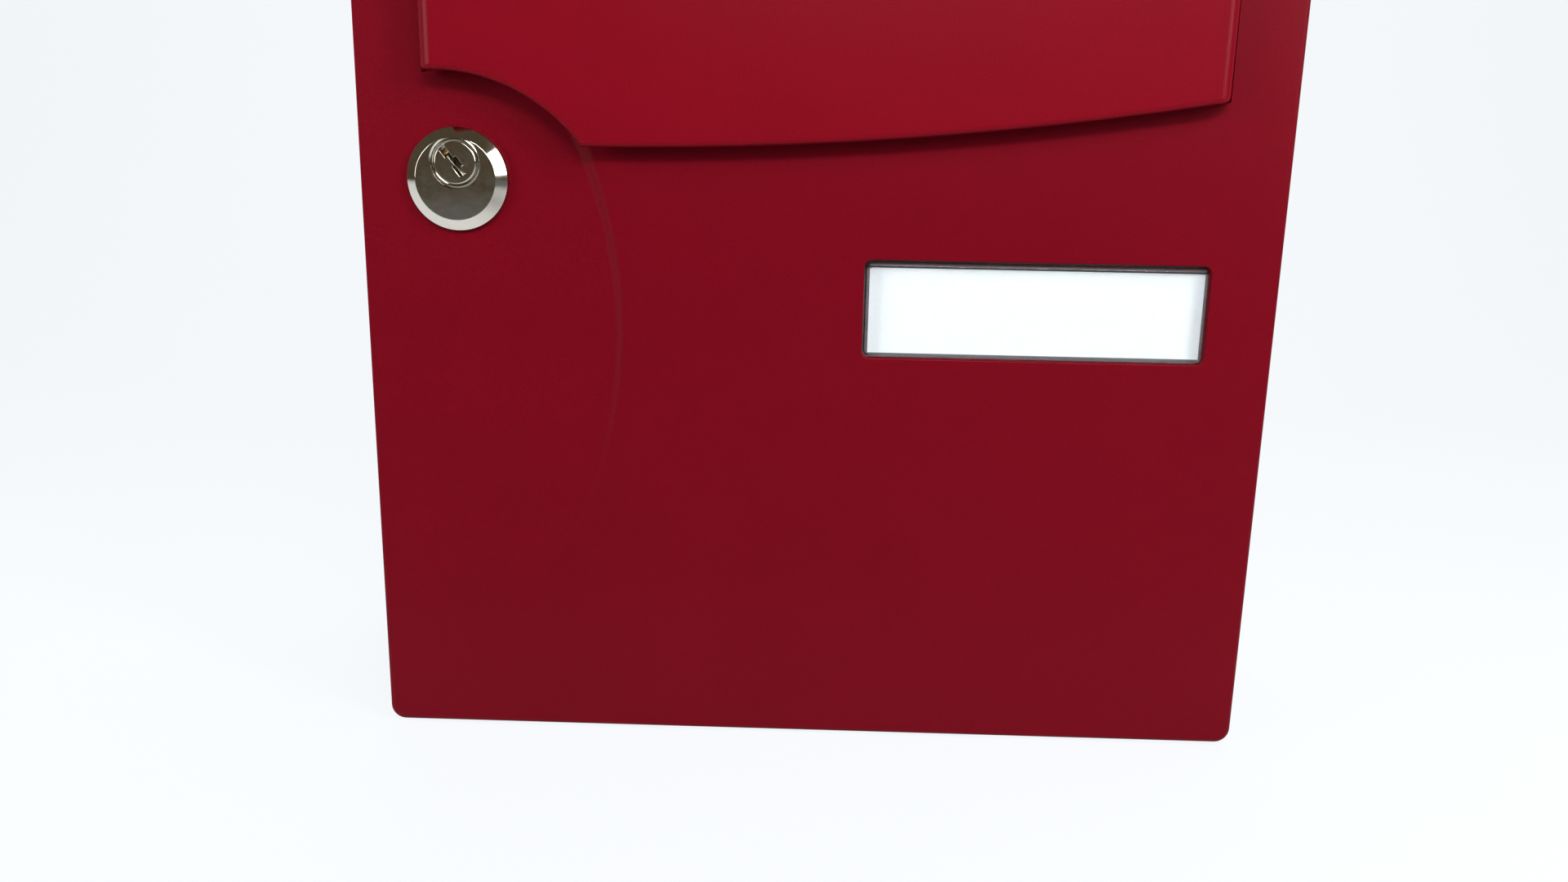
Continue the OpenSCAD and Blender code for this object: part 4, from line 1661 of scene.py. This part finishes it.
@dataclass
class Studio:
    """The pale floor and backdrop, the soft lamps and the camera."""

    floor_colour: Colour = (0.8, 0.83, 0.85)
    bounce_colour: Colour = (0.36, 0.37, 0.38)
    seen_colour: Colour = (1.02, 1.05, 1.08)
    seen_strength: float = 0.82
    lift: float = 0.1
    pale_to: float = 0.12
    dark_from: float = 0.22
    dark_side: Colour = (0.082, 0.064, 0.04)
    light_side: Colour = (0.75, 0.8, 0.85)
    far_colour: Colour = (0.84, 0.865, 0.89)
    light_from: float = 0.1
    light_to: float = 0.5
    camera_place: tuple[float, float, float] = (-0.0018, -0.3704, 0.16326)
    camera_turn: tuple[float, float, float] = (77.462, -1.10106, 1.47955)
    lens: float = 26.33
    sensor: float = 36.0
    room: float = 7.0
    wall_y: float = 0.9
    bend: float = 0.4

    def pale_surface(self, name: str) -> bpy.types.Material:
        """A pale material that is seen near white and still keeps the shadow.

        Args:
            name: The material's name.

        Returns:
            The material.
        """
        bench = MaterialBench(name)
        cloud = bench.span(bench.noise(0.15, detail=2), 0, 1)
        rays = bench.node("LightPath", {}).outputs
        base = bench.blend(cloud, self.floor_colour, tinted(self.floor_colour, 0.985))
        base = bench.blend(rays["Is Camera Ray"], self.bounce_colour, base)
        bench.set(Base_Color=base, Roughness=0.75)
        depth = bench.node("SeparateXYZ", {"Vector": bench.place}).outputs["Y"]
        near = bench.span(depth, 0, 1, -self.dark_from, -self.pale_to)
        mirrored = bench.reckon("MULTIPLY", rays["Is Glossy Ray"], near)
        seen = bench.reckon("MAXIMUM", rays["Is Camera Ray"], mirrored)
        lifted = bench.reckon("MAXIMUM", seen, self.lift)
        share = bench.reckon("MULTIPLY", lifted, self.seen_strength)
        glow = bench.node("Emission", {"Color": self.seen_colour}).outputs["Emission"]
        bench.show(bench.mixed(share, bench.plain, glow))
        return bench.material

    def sweep(self) -> None:
        """Lay the floor and bend it up into the backdrop behind the object."""
        builder = MeshBuilder()
        start = self.wall_y - self.bend
        line = [(-self.room, 0.0), (start, 0.0)]
        steps = 16
        for k in range(1, steps + 1):
            a = math.pi / 2 * k / steps
            line.append((start + self.bend * math.sin(a), self.bend * (1 - math.cos(a))))
        line.append((self.wall_y, self.room))
        left = builder.ring(Vector((-self.room, y, z)) for y, z in line)
        right = builder.ring(Vector((self.room, y, z)) for y, z in line)
        for i in range(len(line) - 1):
            builder.faces.append((left[i], right[i], right[i + 1], left[i + 1]))
        floor = builder.piece("studio_sweep", 60)
        floor.data.materials.append(self.pale_surface("studio_pale"))

    def surroundings(self) -> None:
        """Make the room dark on the camera's side and pale behind the box."""
        world = bpy.data.worlds.new("studio_world")
        world.use_nodes = True
        bench = NodeBench(world.node_tree)
        place = bench.node("TexCoord", {}).outputs["Generated"]
        depth = bench.node("SeparateXYZ", {"Vector": place}).outputs["Y"]
        share = bench.span(depth, 0, 1, self.light_from, self.light_to)
        lit = bench.blend(share, self.dark_side, self.light_side)
        rays = bench.node("LightPath", {}).outputs
        shown = bench.blend(rays["Is Camera Ray"], lit, self.far_colour)
        ground = bench.node("Background", {"Color": shown, "Strength": 1.0})
        bench.node("OutputWorld", {"Surface": ground.outputs["Background"]})
        bpy.context.scene.world = world

    def camera(self) -> None:
        """Set the camera up where the photograph was taken."""
        lens = bpy.data.cameras.new("photo_camera")
        lens.lens = self.lens
        lens.sensor_width = self.sensor
        lens.clip_start = 0.01
        lens.clip_end = 20.0
        holder = bpy.data.objects.new("photo_camera", lens)
        holder.location = self.camera_place
        holder.rotation_euler = Euler([math.radians(a) for a in self.camera_turn], "XYZ")
        bpy.context.scene.collection.objects.link(holder)
        bpy.context.scene.camera = holder

    def build(self) -> None:
        """Set up the whole studio."""
        self.sweep()
        for box in SOFT_BOXES:
            box.hang()
        self.surroundings()
        self.camera()
        bpy.context.scene.view_settings.view_transform = "Standard"


SOFT_COPIES: tuple[SoftCopy, ...] = (
    SoftCopy("housing_shell", "housing_wrap", Body.HOUSING, 0.3 * MM),
    SoftCopy("back_panel", "housing_back", Body.HOUSING, 0.25 * MM),
    SoftCopy("hinge_bracket_upper", "bracket_upper", Body.HOUSING, 0.25 * MM),
    SoftCopy("hinge_bracket_lower", "bracket_lower", Body.HOUSING, 0.25 * MM),
    SoftCopy("flap", "flap_moulding", Body.FLAP, 0.4 * MM, rim_width=1.5 * MM, most_sides=7),
    SoftCopy("lock_plug", "plug_turned", Body.PLUG, 0.1 * MM),
    SoftCopy("lock_cam", "cam_arm", Body.PLUG, 0.25 * MM),
    SoftCopy("cam_screw", "cam_pan_screw", Body.PLUG, 0.12 * MM),
    SoftCopy("name_window", "clear_pane", Body.DOOR, 0.12 * MM),
    SoftCopy("name_tray", "card_tray", Body.DOOR, 0.2 * MM),
)


def main() -> None:
    """Build every piece, dress it and report it."""
    logging.basicConfig(level=logging.INFO, format="%(name)s: %(message)s")
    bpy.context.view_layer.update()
    shop = PaintShop(FINISHES)
    Studio().build()
    parts = Fasteners()
    pieces = [
        (DoorMoulding().build(), Body.DOOR, "door_panel"),
        (LockHead().build(), Body.DOOR, "lock_body"),
        (parts.rivets(), Body.HOUSING, "rivets"),
        (parts.hinge_pin("hinge_pin_upper", "pin_upper"), Body.DOOR, "hinge_pin_upper"),
        (parts.hinge_pin("hinge_pin_lower", "pin_lower"), Body.DOOR, "hinge_pin_lower"),
        (parts.flap_rod(), Body.DOOR, "flap_rod"),
        (parts.buffers(), Body.DOOR, "flap_buffers"),
        (parts.washer("lock_washer", "barrel_washer", 11.1 * MM), Body.DOOR, "lock_washer"),
        (parts.washer("cam_washer", "screw_washer", 2.1 * MM), Body.PLUG, "cam_washer"),
        (parts.hex_nut(), Body.DOOR, "lock_nut"),
        *((copy.build(), copy.body, copy.node) for copy in SOFT_COPIES),
        (NameCard().build(), Body.DOOR, "name_card"),
    ]
    for piece, body, node in pieces:
        shop.dress_piece(piece, body, node)
    shop.dress_node("lock_wafers")


if __name__ == "__main__":
    main()
